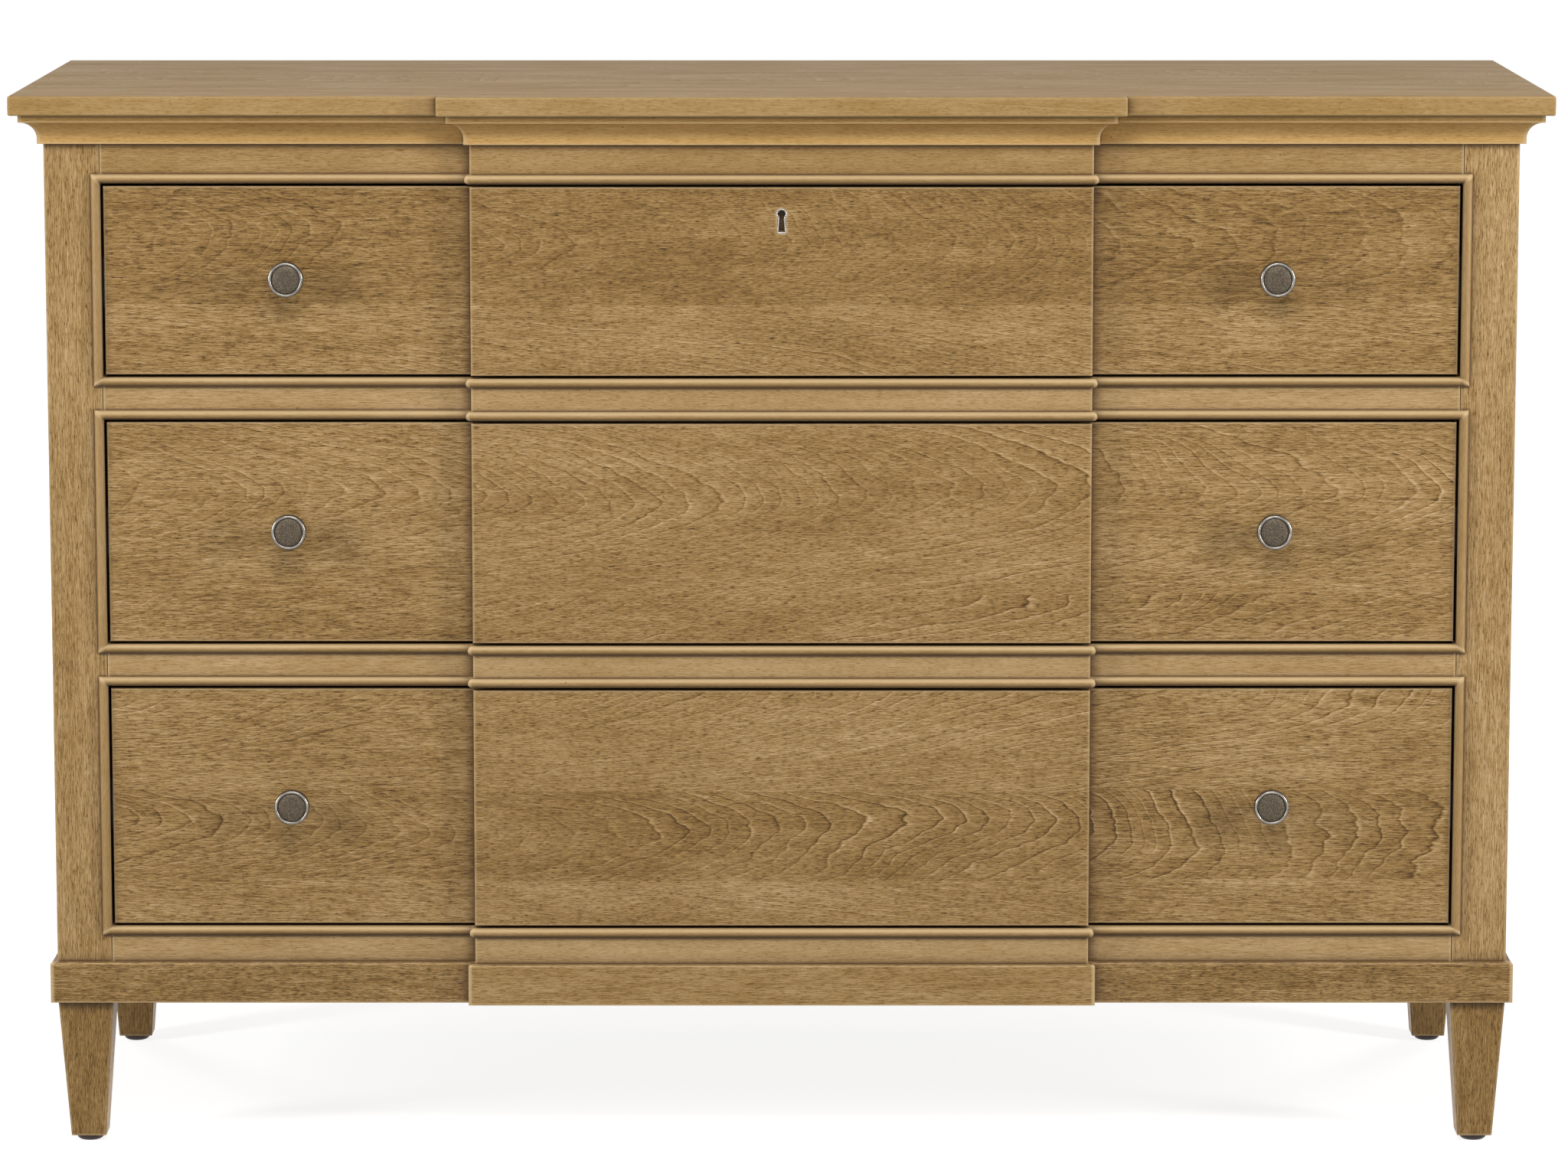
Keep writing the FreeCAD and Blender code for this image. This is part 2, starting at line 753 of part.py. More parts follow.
def make_slides():
    half = "slide_height / 2"
    inner = "slide_inner_height / 2"
    lip = f"({half} - slide_sheet - slide_lip)"
    case_member = slide_member("CaseMember", [
        ("0", f"-{half}"),
        ("case_flange", f"-{half}"),
        ("case_flange", f"-{lip}"),
        ("case_flange - slide_sheet", f"-{lip}"),
        ("case_flange - slide_sheet", f"-({half} - slide_sheet)"),
        ("slide_sheet", f"-({half} - slide_sheet)"),
        ("slide_sheet", f"{half} - slide_sheet"),
        ("case_flange - slide_sheet", f"{half} - slide_sheet"),
        ("case_flange - slide_sheet", lip),
        ("case_flange", lip),
        ("case_flange", half),
        ("0", half),
    ])
    race_member = slide_member("RaceMember", [
        ("race_back", "-race_half"),
        ("race_front", "-race_half"),
        ("race_front", "-race_inner_half"),
        ("race_back + slide_sheet", "-race_inner_half"),
        ("race_back + slide_sheet", "race_inner_half"),
        ("race_front", "race_inner_half"),
        ("race_front", "race_half"),
        ("race_back", "race_half"),
    ])
    drawer_member = slide_member("DrawerMember", [
        ("drawer_flange", f"-{inner}"),
        ("slide_space", f"-{inner}"),
        ("slide_space", inner),
        ("drawer_flange", inner),
        ("drawer_flange", f"{inner} - slide_sheet"),
        ("slide_space - slide_sheet", f"{inner} - slide_sheet"),
        ("slide_space - slide_sheet", f"-({inner} - slide_sheet)"),
        ("drawer_flange", f"-({inner} - slide_sheet)"),
    ])
    cleat = pair("Cleats", board(
        "Cleat",
        ("-panel_inner_half", "front_post_back", "-cleat_height / 2"),
        ("panel_inner_half - opening_half", "rear_post_front - front_post_back", "cleat_height"),
    ))
    case_members = []
    cleats = []
    for level in LEVELS:
        middle = f"{level}_slide_middle"
        case_members.append(copy_at(f"CaseMembers_{level}", case_member, z=middle))
        cleats.append(copy_at(f"Cleats_{level}", cleat, z=middle))
        node(copy_at(f"RaceMembers_{level}", race_member, z=middle), f"{level}_slide_middles")
        node(copy_at(f"DrawerMembers_{level}", drawer_member, z=middle), f"{level}_drawer_slides")
    node(group("CaseSlides", case_members), "case_slides")
    node(group("SlideCleats", cleats), "slide_cleats")


# Drawers


def make_side(level):
    """A drawer's left side, with its front tongue, its bottom groove and its rear dovetails."""
    body = new_body(f"Side_{level}")
    length = "(box_end - front_back)"
    root = f"({length} - back_board_thickness)"
    pad(body, sketch_on(body, "YZ_Plane", [
        ("0", "0"),
        (length, "0"),
        (length, "back_lift"),
        (root, "back_lift"),
        (root, f"{level}_box_height"),
        ("0", f"{level}_box_height"),
    ]), "side_thickness")
    pad(body, sketch_on(body, "XY_Plane", tongue_outline()), f"{level}_box_height")
    groove = sketch_on(
        body, "YZ_Plane",
        rectangle(
            "-tongue_depth - overrun", "drawer_bottom_lift", f"{length} + overrun", "back_lift",
        ),
        offset="side_thickness",
    )
    pocket(body, groove, "drawer_groove")
    tail = pad(body, sketch_on(body, "YZ_Plane", tail_outline(level, root, length)), "side_thickness")
    repeat_up(body, tail, f"{level}_tail_count", f"{level}_tail_step")
    return place(body, "-box_half", "front_back", f"{level}_box_foot")


def tongue_outline():
    """The dovetail tongue on a side's front end, seen from above."""
    middle = "side_thickness / 2"
    return [
        (f"{middle} - tongue_neck / 2", "0"),
        (f"{middle} - tongue_end / 2", "-tongue_depth"),
        (f"{middle} + tongue_end / 2", "-tongue_depth"),
        (f"{middle} + tongue_neck / 2", "0"),
    ]


def tail_outline(level, root, end):
    """The lowest dovetail tail, narrow at its root and wide at its end."""
    step = f"{level}_tail_step"
    middle = f"back_lift + {step} / 2"
    return [
        (root, f"{middle} - {step} * tail_root_share / 2"),
        (end, f"{middle} - {step} * tail_end_share / 2"),
        (end, f"{middle} + {step} * tail_end_share / 2"),
        (root, f"{middle} + {step} * tail_root_share / 2"),
    ]


def make_tongue_slot(level):
    """The slot that a side's tongue slides up into, open at the lower edge of the front."""
    body = new_body(f"TongueSlot_{level}")
    sketch = sketch_on(body, "XY_Plane", tongue_outline(), offset="-box_lift")
    pad(body, sketch, f"{level}_box_height + box_lift")
    return pair(f"TongueSlots_{level}", place(body, "-box_half", "front_back", f"{level}_box_foot"))


def make_front_board(name, half, height, thickness, face, foot):
    """A front board with its front edges eased."""
    body = new_body(name)
    sketch = sketch_on(body, "XZ_Plane", rectangle(f"-{half}", "0", half, height))
    blank = pad(body, sketch, thickness)
    ease(body, blank, "front_edge_radius", lambda edge: flat_at(edge, "Y", f"-{thickness}"))
    return place(body, y=face, z=foot)


def make_drawer(level, knob_pair, screw_pair, plate_seat):
    side = make_side(level)
    sides = pair(f"Sides_{level}", side)
    bottom = board(
        f"Bottom_{level}",
        (
            "-box_inner_half - drawer_groove",
            "front_back - drawer_groove",
            f"{level}_box_foot + drawer_bottom_lift",
        ),
        (
            "2 * (box_inner_half + drawer_groove)",
            "box_end - front_back + drawer_groove",
            "drawer_bottom_thickness",
        ),
    )
    back_blank = board(
        f"Back_{level}",
        ("-box_half", "box_end - back_board_thickness", f"{level}_box_foot + back_lift"),
        ("2 * box_half", "back_board_thickness", f"{level}_back_height"),
    )
    knob_height = f"{level}_front_foot + {level}_front_height / 2 + knob_rise"
    screws = copy_at(f"Screws_{level}", screw_pair, z=knob_height)
    front_blank = make_front_board(
        f"Front_{level}", "front_half", f"{level}_front_height", "front_thickness",
        "front_back", f"{level}_front_foot",
    )
    screw_holes = copy_at(f"ScrewHoles_{level}", make_screw_hole_pair(level), z=knob_height)
    slots = make_tongue_slot(level)
    panel = make_front_board(
        f"CentrePanel_{level}", "centre_half", f"{level}_front_height", "break_step",
        "face", f"{level}_front_foot",
    )
    if level == "top":
        panel = cut("InlaidPanel", panel, [plate_seat])
    node(cut(f"FrontBoard_{level}", front_blank, [slots, bottom, screw_holes]), f"{level}_drawer_front")
    node(panel, f"{level}_drawer_centre_panel")
    node(side, f"{level}_drawer_left_side")
    node(mirrored(f"RightSide_{level}", side), f"{level}_drawer_right_side")
    node(cut(f"BackBoard_{level}", back_blank, [sides]), f"{level}_drawer_back")
    node(bottom, f"{level}_drawer_bottom")
    node(copy_at(f"Knobs_{level}", knob_pair, z=knob_height), f"{level}_drawer_knobs")
    node(screws, f"{level}_knob_screws")


# Knobs and their screws, turned about the Y axis with the drawer's face at Y = 0


def make_knob_pair():
    body = new_body("Knob")
    bore = "screw_radius + screw_clearance"
    bore_end = "-screw_grip - screw_clearance"
    sketch = sketch_on(body, "XY_Plane", [
        ("0", bore_end),
        (bore, bore_end),
        (bore, "0"),
        ("knob_foot_radius", "0"),
        ("knob_neck_radius", "-knob_neck_length"),
        ("knob_waist_radius", "-knob_stem_length"),
        ("knob_waist_radius", "-knob_ridge_end"),
        ("knob_waist_radius", "-knob_length + knob_rim_bevel"),
        ("knob_waist_radius - knob_rim_bevel", "-knob_length"),
        ("knob_dish_radius", "-knob_length"),
        ("knob_dish_radius", "-knob_length + knob_dish_depth"),
        ("0", "-knob_length + knob_dish_depth"),
    ], {4: ("knob_flare_radius", 1, False), 5: ("knob_ridge_radius", -1, False)})
    revolve(body, sketch)
    return pair("KnobPair", place(body, "-knob_half", "face"))


def make_screw_pair():
    body = new_body("Screw")
    sketch = sketch_on(body, "XY_Plane", [
        ("0", "-screw_grip"),
        ("screw_radius", "-screw_grip"),
        ("screw_radius", "front_thickness"),
        ("screw_head_radius", "front_thickness"),
        ("screw_head_top_radius", "front_thickness + screw_head_height"),
        ("0", "front_thickness + screw_head_height"),
    ])
    revolve(body, sketch)
    return pair("ScrewPair", place(body, "-knob_half", "face"))


def make_screw_hole_pair(level):
    hole = doc.addObject("Part::Cylinder", f"ScrewHole_{level}")
    bind(hole, "Radius", "screw_radius + screw_clearance")
    bind(hole, "Height", "front_thickness + 2 * overrun")
    place(hole, "-knob_half", "front_back + overrun", axis=X_AXIS, turn=90)
    return pair(f"ScrewHoles_pair_{level}", hole)


# Keyhole plate let into the top drawer


def keyhole_solid(name, radius, waist, waist_drop, foot, tail, front, depth):
    """A keyhole-shaped prism, from its front face back."""
    body = new_body(name)
    sketch = sketch_on(body, "XZ_Plane", [
        (f"{waist} / 2", f"-{waist_drop}"),
        (f"-{waist} / 2", f"-{waist_drop}"),
        (f"-{foot} / 2", f"-{tail}"),
        (f"{foot} / 2", f"-{tail}"),
    ], {0: (radius, 1, True)})
    pad(body, sketch, depth, backwards=True)
    return place(body, y=front, z="top_front_foot + top_front_height - keyhole_drop")


def make_keyhole():
    """The plate, and the seat that it and its blind hole need in the panel."""
    hole = ("keyhole_head_radius", "keyhole_waist", "keyhole_waist_drop", "keyhole_foot", "keyhole_tail")
    rim = ("plate_radius", "plate_waist", "plate_waist_drop", "plate_foot", "plate_tail")
    front = "centre_face - plate_proud"
    blank = keyhole_solid("PlateBlank", *rim, front, "plate_depth + plate_proud")
    opening = keyhole_solid("PlateOpening", *hole, f"{front} - overrun", "keyhole_depth + overrun")
    node(cut("Plate", blank, [opening]), "keyhole_plate")
    return fuse("PlateSeat", blank, opening)


# Glides under the legs


def make_glides():
    body = new_body("Glide")
    sketch = sketch_on(body, "XZ_Plane", [
        ("0", "0"),
        ("glide_diameter / 2 - glide_edge_radius", "0"),
        ("glide_diameter / 2", "glide_edge_radius"),
        ("glide_diameter / 2", "glide_height"),
        ("0", "glide_height"),
    ], {1: ("glide_edge_radius", 1, False)})
    revolve(body, sketch)
    front = place(body, "-case_half + post_width / 2", "face + post_depth / 2")
    rear = copy_at("RearGlide", front, y="case_back - face - post_depth")
    node(pair("Glides", group("LeftGlides", [front, rear])), "leg_glides")


def write_parts():
    """Check every object, then write each piece to its own file."""
    doc.recompute()
    for item in doc.Objects:
        if "Invalid" in item.State or "Error" in item.State:
            raise ValueError(f"{item.Label} failed: {item.State}")
    for item in nodes:
        if item.Shape.isNull() or not item.Shape.isValid():
            raise ValueError(f"{item.Label} has no valid shape")
        if not item.Shape.Solids:
            raise ValueError(f"{item.Label} has no solid")
    os.makedirs("parts", exist_ok=True)
    for item in nodes:
        Part.makeCompound(item.Shape.Solids).exportStep(f"parts/{item.Label}.step")
    print(len(nodes), "pieces,", sum(len(item.Shape.Solids) for item in nodes), "solids")


make_top()
make_frame()
make_centre_blocks()
make_cornice()
make_base()
make_beads()
make_slides()
seat = make_keyhole()
knobs = make_knob_pair()
screws = make_screw_pair()
for level in LEVELS:
    make_drawer(level, knobs, screws, seat)
make_glides()
write_parts()
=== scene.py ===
# Looks for a breakfront dresser of three drawers: glazed birch outside, pale drawer boxes inside,
# pewter knobs and zinc-plated slides. Lengths are in metres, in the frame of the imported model.
import bmesh
import bpy
import math
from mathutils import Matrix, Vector


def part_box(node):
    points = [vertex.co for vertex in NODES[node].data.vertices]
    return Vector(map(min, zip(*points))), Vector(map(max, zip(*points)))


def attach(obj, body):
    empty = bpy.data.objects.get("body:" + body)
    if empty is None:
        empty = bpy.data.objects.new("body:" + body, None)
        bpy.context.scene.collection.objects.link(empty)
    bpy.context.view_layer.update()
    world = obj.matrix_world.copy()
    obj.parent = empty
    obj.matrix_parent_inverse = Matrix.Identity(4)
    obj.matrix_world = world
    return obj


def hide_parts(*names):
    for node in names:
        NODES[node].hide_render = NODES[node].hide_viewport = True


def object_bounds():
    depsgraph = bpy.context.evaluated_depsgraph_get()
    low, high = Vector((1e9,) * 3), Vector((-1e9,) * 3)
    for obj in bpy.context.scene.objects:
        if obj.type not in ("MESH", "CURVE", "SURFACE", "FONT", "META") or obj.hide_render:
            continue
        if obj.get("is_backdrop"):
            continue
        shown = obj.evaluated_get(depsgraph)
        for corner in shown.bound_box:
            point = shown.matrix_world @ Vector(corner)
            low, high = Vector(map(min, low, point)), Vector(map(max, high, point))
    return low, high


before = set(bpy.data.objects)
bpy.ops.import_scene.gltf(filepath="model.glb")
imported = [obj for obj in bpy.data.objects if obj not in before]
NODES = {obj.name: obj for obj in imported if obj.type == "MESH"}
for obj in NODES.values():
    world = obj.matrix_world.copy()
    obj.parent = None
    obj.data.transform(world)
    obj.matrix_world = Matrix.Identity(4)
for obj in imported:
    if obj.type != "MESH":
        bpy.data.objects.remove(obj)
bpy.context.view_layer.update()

MM = 0.001
FULL_TURN = math.radians(360)
LEVELS = ("bottom", "middle", "top")
WHITE = (1.0, 1.0, 1.0, 1.0)

# Colours, nodes and pieces


def linear(hex_text):
    """An sRGB hex colour as linear red, green, blue and alpha."""
    shares = [int(hex_text[i:i + 2], 16) / 255 for i in (0, 2, 4)]
    return [s / 12.92 if s <= 0.04045 else ((s + 0.055) / 1.055) ** 2.4 for s in shares] + [1.0]


def plug(tree, node, sockets):
    """Set a node's sockets to values, or link them to another node's first output or to a named output."""
    for name, source in sockets.items():
        socket = node.inputs[name]
        if isinstance(source, bpy.types.Node):
            tree.links.new(source.outputs[0], socket)
        elif isinstance(source, bpy.types.NodeSocket):
            tree.links.new(source, socket)
        else:
            socket.default_value = source


def add(tree, kind, sockets=None, stops=None, **settings):
    """Add a shader node with its settings, its stops if it is a ramp, and its sockets.

    A mix node's sockets go by number, because their names repeat: 0 is the share, 4 and 5 are the
    vectors with output 1, and 6 and 7 are the colours with output 2.
    """
    node = tree.nodes.new("ShaderNode" + kind)
    for name, setting in settings.items():
        setattr(node, name, setting)
    if stops:
        elements = node.color_ramp.elements
        while len(elements) < len(stops):
            elements.new(1.0)
        for element, (position, colour) in zip(elements, stops):
            element.position = position
            element.color = colour if hasattr(colour, "__len__") else (colour, colour, colour, 1.0)
    plug(tree, node, sockets or {})
    return node


def new_material(name):
    """An empty node material with its surface shader and output in place."""
    material = bpy.data.materials.new(name)
    material.use_nodes = True
    tree = material.node_tree
    tree.nodes.clear()
    shader = add(tree, "BsdfPrincipled")
    add(tree, "OutputMaterial", {"Surface": shader})
    return material, tree, shader


def finish(names, material):
    """Give CAD pieces a material of their own."""
    for name in names:
        NODES[name].data.materials.clear()
        NODES[name].data.materials.append(material)


def new_piece(name, mesh, materials, smooth):
    """Turn a finished mesh into an object with its materials."""
    for face in mesh.faces:
        face.smooth = smooth
    data = bpy.data.meshes.new(name)
    mesh.to_mesh(data)
    mesh.free()
    for material in materials:
        data.materials.append(material)
    piece = bpy.data.objects.new(name, data)
    bpy.context.scene.collection.objects.link(piece)
    return piece


# Wood: fibres along X, the face of the board towards -Y, after these turns
GRAIN_TURNS = {
    "level": (0.0, 0.0, 0.0),
    "upright": (0.0, math.radians(90), 0.0),
    "side": (0.0, 0.0, math.radians(-90)),
    "flat": (math.radians(-90), 0.0, 0.0),
}
# A run of moulding along the side of the case shows faces that look along X
SIDE_FACING = 0.7
# A bead's stiles stand outside the width of the drawer opening, this far in from the ends of the rails
BEAD_STILE_INSET = 18 * MM

# The log that each board is cut from
RING_WIDTH = 1.5 * MM
LOG_SLOPE = 0.062
DRIFT_LENGTHS = (330 * MM, 160 * MM, 95 * MM)
DRIFT = 7 * MM
WOBBLE_LENGTHS = (38 * MM, 20 * MM, 12 * MM)
WOBBLE = 0.65 * MM
UNEVEN_LENGTH = 9 * MM
UNEVEN = 2.0 * MM
# Lightness across one ring, with the dark line of late wood near its end
RING_STOPS = [
    (0.0, 0.62), (0.05, 0.78), (0.14, 0.58), (0.3, 0.5),
    (0.8, 0.47), (0.88, 0.38), (0.96, 0.06), (1.0, 0.62),
]
RING_MIDDLE = 0.5
# Some rings are strong and most are faint, and all fade in and out along the board
CHANCE_STOPS = [(0.0, 0.35), (0.5, 0.75), (1.0, 1.3)]
RING_FADE = {"From Min": 0.35, "From Max": 0.6, "To Min": 0.35, "To Max": 1.0}

# Fibre lines, vessel dashes, curl and tone patches; the finest are drawn as coarse as they need to show
FIBRE_LENGTHS = (24 * MM, 2.5 * MM, 0.45 * MM)
VESSEL_LENGTHS = (6 * MM, 1.4 * MM, 0.48 * MM)
CURL_LENGTHS = (18 * MM, 6 * MM, 5 * MM)
PATCH_LENGTHS = (150 * MM, 60 * MM, 28 * MM)
# Short dark dashes with a pale edge
VESSEL_STOPS = [(0.30, 0.0), (0.43, 0.55), (0.49, 0.86), (0.58, 0.82), (0.70, 1.1)]
# How much each adds to the tone; their means are taken off again, so that a board keeps its tone
FIBRE_WEIGHT = 0.8
VESSEL_WEIGHT = 0.5
CURL_WEIGHT = 0.2
PATCH_WEIGHT = 0.1
PATCH_LEAST = 0.25
FLECK_MEAN = 0.97
PATCH_MEAN = 0.125
PORE_DEPTH = 0.1 * MM
PORE_STRENGTH = 0.25
SHEEN_RANGE = 0.04
WOOD_IOR = 1.5

# Glaze and painted shade: painted shade in corners and in the quirks of mouldings, where glaze also gathers;
# glaze rubbed off edges; a painted highlight on the upper side of beads and painted shade on their lower
# side; a few specks
GLAZE_AND_SHADE = "412910"
RUBBED_EDGE = "cdb083"
BEAD_PAINTED_HIGHLIGHT = "d8bd8e"
SPECK = "2c1a0b"
GLAZE_AND_SHADE_REACH = 12 * MM
QUIRK_REACH = 2.6 * MM
RUB_REACH = 2.6 * MM
EDGE_RADIUS = 0.5 * MM
SPECK_SPACING = 120 * MM
SPECK_RADIUS = 0.8 * MM
# Painted shade, which also stands for glaze gathered there: darker the less open the surface is within the
# reach, in corners and then in quirks
CORNER_STOPS = [(0.5, 0.75), (0.75, 0.36), (0.96, 0.0)]
QUIRK_STOPS = [(0.6, 0.95), (0.85, 0.6), (0.97, 0.0)]
EDGE_RUB = {"From Min": 0.5, "From Max": 0.93, "To Min": 0.75, "To Max": 0.0}
# A bead is painted pale as a highlight where it faces up, and painted dark as shade where it faces down
BEAD_HIGHLIGHT_FACING = {"From Min": 0.0, "From Max": 0.7}
BEAD_PAINTED_SHADE = {"From Min": 0.0, "From Max": -0.7, "To Max": 0.75}

# Tones from dark to light: stained birch; a warmer birch for the cove, partly its stain and partly painted
# warm shade under the top; and the bare woods inside
STAINED_BIRCH = ("301d02", "6e4e1c", "9b7b49", "c2a478", "e0c9a6")
COVE_BIRCH_WARM_SHADE = ("301d02", "6f4d17", "a07b40", "c9a267", "e6c88f")
BARE_BIRCH = ("8f6f43", "b4935f", "cdb07f", "dcc497", "e8d6b1")
BARE_POPLAR = ("6e5734", "94794e", "b39868", "c7ae80", "d8c49b")
BACK_PLY = ("4a3115", "77572f", "98774a", "b39265", "c9ad84")

# Boards from the lowest up: foot, tone, height and depth of the heart of the log, strength of its figure
FRONT_BOARDS = [
    (0.000, 0.53, 0.120, 0.420, 0.5),
    (0.245, 0.46, 0.288, 0.420, 0.85),
    (0.3244, 0.53, 0.445, 0.400, 0.75),
    (0.440, 0.49, 0.530, 0.430, 0.6),
    (0.5062, 0.52, 0.600, 0.430, 0.6),
    (0.680, 0.52, 0.640, 0.440, 0.55),
    (0.7679, 0.44, 0.830, 0.410, 0.35),
]
POST_BOARDS = [
    (0.0000, 0.42, 0.0, 0.2, 0.3),
    (0.1325, 0.55, 0.0, 0.2, 0.3),
]
PALE_POST_BOARDS = [
    (0.0000, 0.43, 0.0, 0.2, 0.3),
    (0.1325, 0.60, 0.0, 0.2, 0.3),
]
RAIL_BOARDS = [
    (0.000, 0.63, 0.0, 0.2, 0.25),
    (0.877, 0.52, 0.0, 0.2, 0.25),
]
# A piece that isn't made of such boards
PLAIN_TONE = 0.5
PLAIN_HEART_HEIGHT = 0.0
PLAIN_HEART_DEPTH = 0.2


def grain_place(tree, run):
    """Object coordinates turned to the run of the fibres."""
    coordinates = add(tree, "TexCoord")
    place = coordinates.outputs["Object"]
    if run in GRAIN_TURNS:
        return add(tree, "Mapping", {"Vector": place, "Rotation": GRAIN_TURNS[run]}).outputs[0]
    if run == "moulding":
        watched, limit, other = coordinates.outputs["Normal"], SIDE_FACING, "side"
    else:
        rail_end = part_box("upper_divider_rail")[1].x
        watched, limit, other = place, rail_end - BEAD_STILE_INSET, "upright"
    spot = add(tree, "SeparateXYZ", {0: watched})
    across = add(tree, "Math", {0: spot.outputs["X"]}, operation="ABSOLUTE")
    pick = add(tree, "Math", {0: across, 1: limit}, operation="GREATER_THAN")
    turned = add(tree, "Mapping", {"Vector": place, "Rotation": GRAIN_TURNS[other]})
    return add(tree, "Mix", {0: pick, 4: place, 5: turned}, data_type="VECTOR").outputs[1]


def streaks(tree, place, lengths, detail=2.0, roughness=0.5):
    """Noise whose features have the given lengths along, through and across the board."""
    scales = [1 / length for length in lengths]
    shares = add(tree, "VectorMath", {0: place, 1: scales}, operation="MULTIPLY")
    return add(tree, "TexNoise", {"Vector": shares, "Scale": 1.0, "Detail": detail, "Roughness": roughness})


def growth_rings(tree, place, heart_height, heart_depth, figure):
    """Lines of the growth rings round the heart of a log that leans through the board, and their strength."""
    drift = add(tree, "VectorMath", {
        0: streaks(tree, place, DRIFT_LENGTHS, detail=1.0).outputs["Color"],
        1: (0.0, 2 * DRIFT, 2 * DRIFT), 2: (0.0, -DRIFT, -DRIFT),
    }, operation="MULTIPLY_ADD")
    section = add(tree, "VectorMath", {0: place, 1: (0.0, 1.0, 1.0), 2: drift}, operation="MULTIPLY_ADD")
    along = add(tree, "SeparateXYZ", {0: place}).outputs["X"]
    lean = add(tree, "Math", {0: along, 1: LOG_SLOPE, 2: heart_depth}, operation="MULTIPLY_ADD")
    lean = add(tree, "Math", {0: lean, 1: -1.0}, operation="MULTIPLY")
    heart = add(tree, "CombineXYZ", {"Y": lean, "Z": heart_height})
    radius = add(tree, "VectorMath", {0: section, 1: heart}, operation="DISTANCE").outputs["Value"]

    # Rings are uneven in width and wobble along the board
    uneven_place = add(tree, "Math", {0: radius, 1: UNEVEN_LENGTH}, operation="DIVIDE")
    uneven = add(tree, "TexNoise", {"W": uneven_place, "Scale": 1.0, "Detail": 1.0}, noise_dimensions="1D")
    ring_place = add(tree, "Math", {0: uneven, 1: 2 * UNEVEN, 2: radius}, operation="MULTIPLY_ADD")
    wobble = streaks(tree, place, WOBBLE_LENGTHS)
    ring_place = add(tree, "Math", {0: wobble, 1: 2 * WOBBLE, 2: ring_place}, operation="MULTIPLY_ADD")
    ring_count = add(tree, "Math", {0: ring_place, 1: RING_WIDTH}, operation="DIVIDE")
    ring_share = add(tree, "Math", {0: ring_count}, operation="FRACT")
    ring_line = add(tree, "ValToRGB", {0: ring_share}, stops=RING_STOPS)
    ring_line = add(tree, "Math", {0: ring_line, 1: RING_MIDDLE}, operation="SUBTRACT")

    ring_number = add(tree, "Math", {0: ring_count}, operation="FLOOR")
    ring_chance = add(tree, "TexWhiteNoise", {"W": ring_number}, noise_dimensions="1D").outputs["Value"]
    strength = add(tree, "ValToRGB", {0: ring_chance}, stops=CHANCE_STOPS)
    fade = add(tree, "MapRange", {"Value": streaks(tree, place, DRIFT_LENGTHS, detail=3.0), **RING_FADE})
    for share in (fade, figure):
        strength = add(tree, "Math", {0: strength, 1: share}, operation="MULTIPLY")
    return ring_line, strength


def glazed_and_shaded(tree, colour, place, glaze_and_shade, crown):
    """A colour with painted shade in the corners, where glazing also gathers, pale wood on rubbed edges, and
    a few specks; on a bead also a painted highlight above and painted shade below.
    """
    layers = []
    if crown:
        # Painted light on a bead: its upper side is painted pale as a highlight and its lower side painted
        # dark as shade, by which way the surface faces
        facing = add(tree, "SeparateXYZ", {0: add(tree, "TexCoord").outputs["Normal"]}).outputs["Z"]
        painted_highlight = add(tree, "MapRange", {"Value": facing, **BEAD_HIGHLIGHT_FACING, "To Max": crown})
        painted_shade = add(tree, "MapRange", {"Value": facing, **BEAD_PAINTED_SHADE})
        layers += [(painted_highlight, BEAD_PAINTED_HIGHLIGHT), (painted_shade, GLAZE_AND_SHADE)]

    # Painted shade where other surfaces are near, in corners and in quirks; it also stands for glazing
    # gathered there
    corner_open = add(tree, "AmbientOcclusion", {"Distance": GLAZE_AND_SHADE_REACH}, samples=6).outputs["AO"]
    corner_stops = [(open_share, strength * glaze_and_shade) for open_share, strength in CORNER_STOPS]
    corner = add(tree, "ValToRGB", {0: corner_open}, stops=corner_stops)
    quirk_open = add(tree, "AmbientOcclusion", {"Distance": QUIRK_REACH}, samples=6).outputs["AO"]
    quirk = add(tree, "ValToRGB", {0: quirk_open}, stops=QUIRK_STOPS)
    deepest = add(tree, "Math", {0: corner, 1: quirk}, operation="MAXIMUM")

    edge = add(tree, "AmbientOcclusion", {"Distance": RUB_REACH}, samples=4, inside=True).outputs["AO"]
    rub = add(tree, "MapRange", {"Value": edge, **EDGE_RUB})

    spot = add(tree, "SeparateXYZ", {0: place}).outputs
    face = add(tree, "CombineXYZ", {"X": spot["X"], "Y": spot["Z"]})
    speck = add(tree, "TexVoronoi", {"Vector": face, "Scale": 1 / SPECK_SPACING}, voronoi_dimensions="2D")
    speck_radius = SPECK_RADIUS / SPECK_SPACING
    speck = add(tree, "MapRange", {
        "Value": speck.outputs["Distance"], "From Min": speck_radius / 2, "From Max": speck_radius,
        "To Min": 0.75, "To Max": 0.0,
    })

    layers += [(deepest, GLAZE_AND_SHADE), (rub, RUBBED_EDGE), (speck, SPECK)]
    for share, hex_text in layers:
        colour = add(tree, "Mix", {0: share, 6: colour, 7: linear(hex_text)}, data_type="RGBA").outputs[2]
    return colour


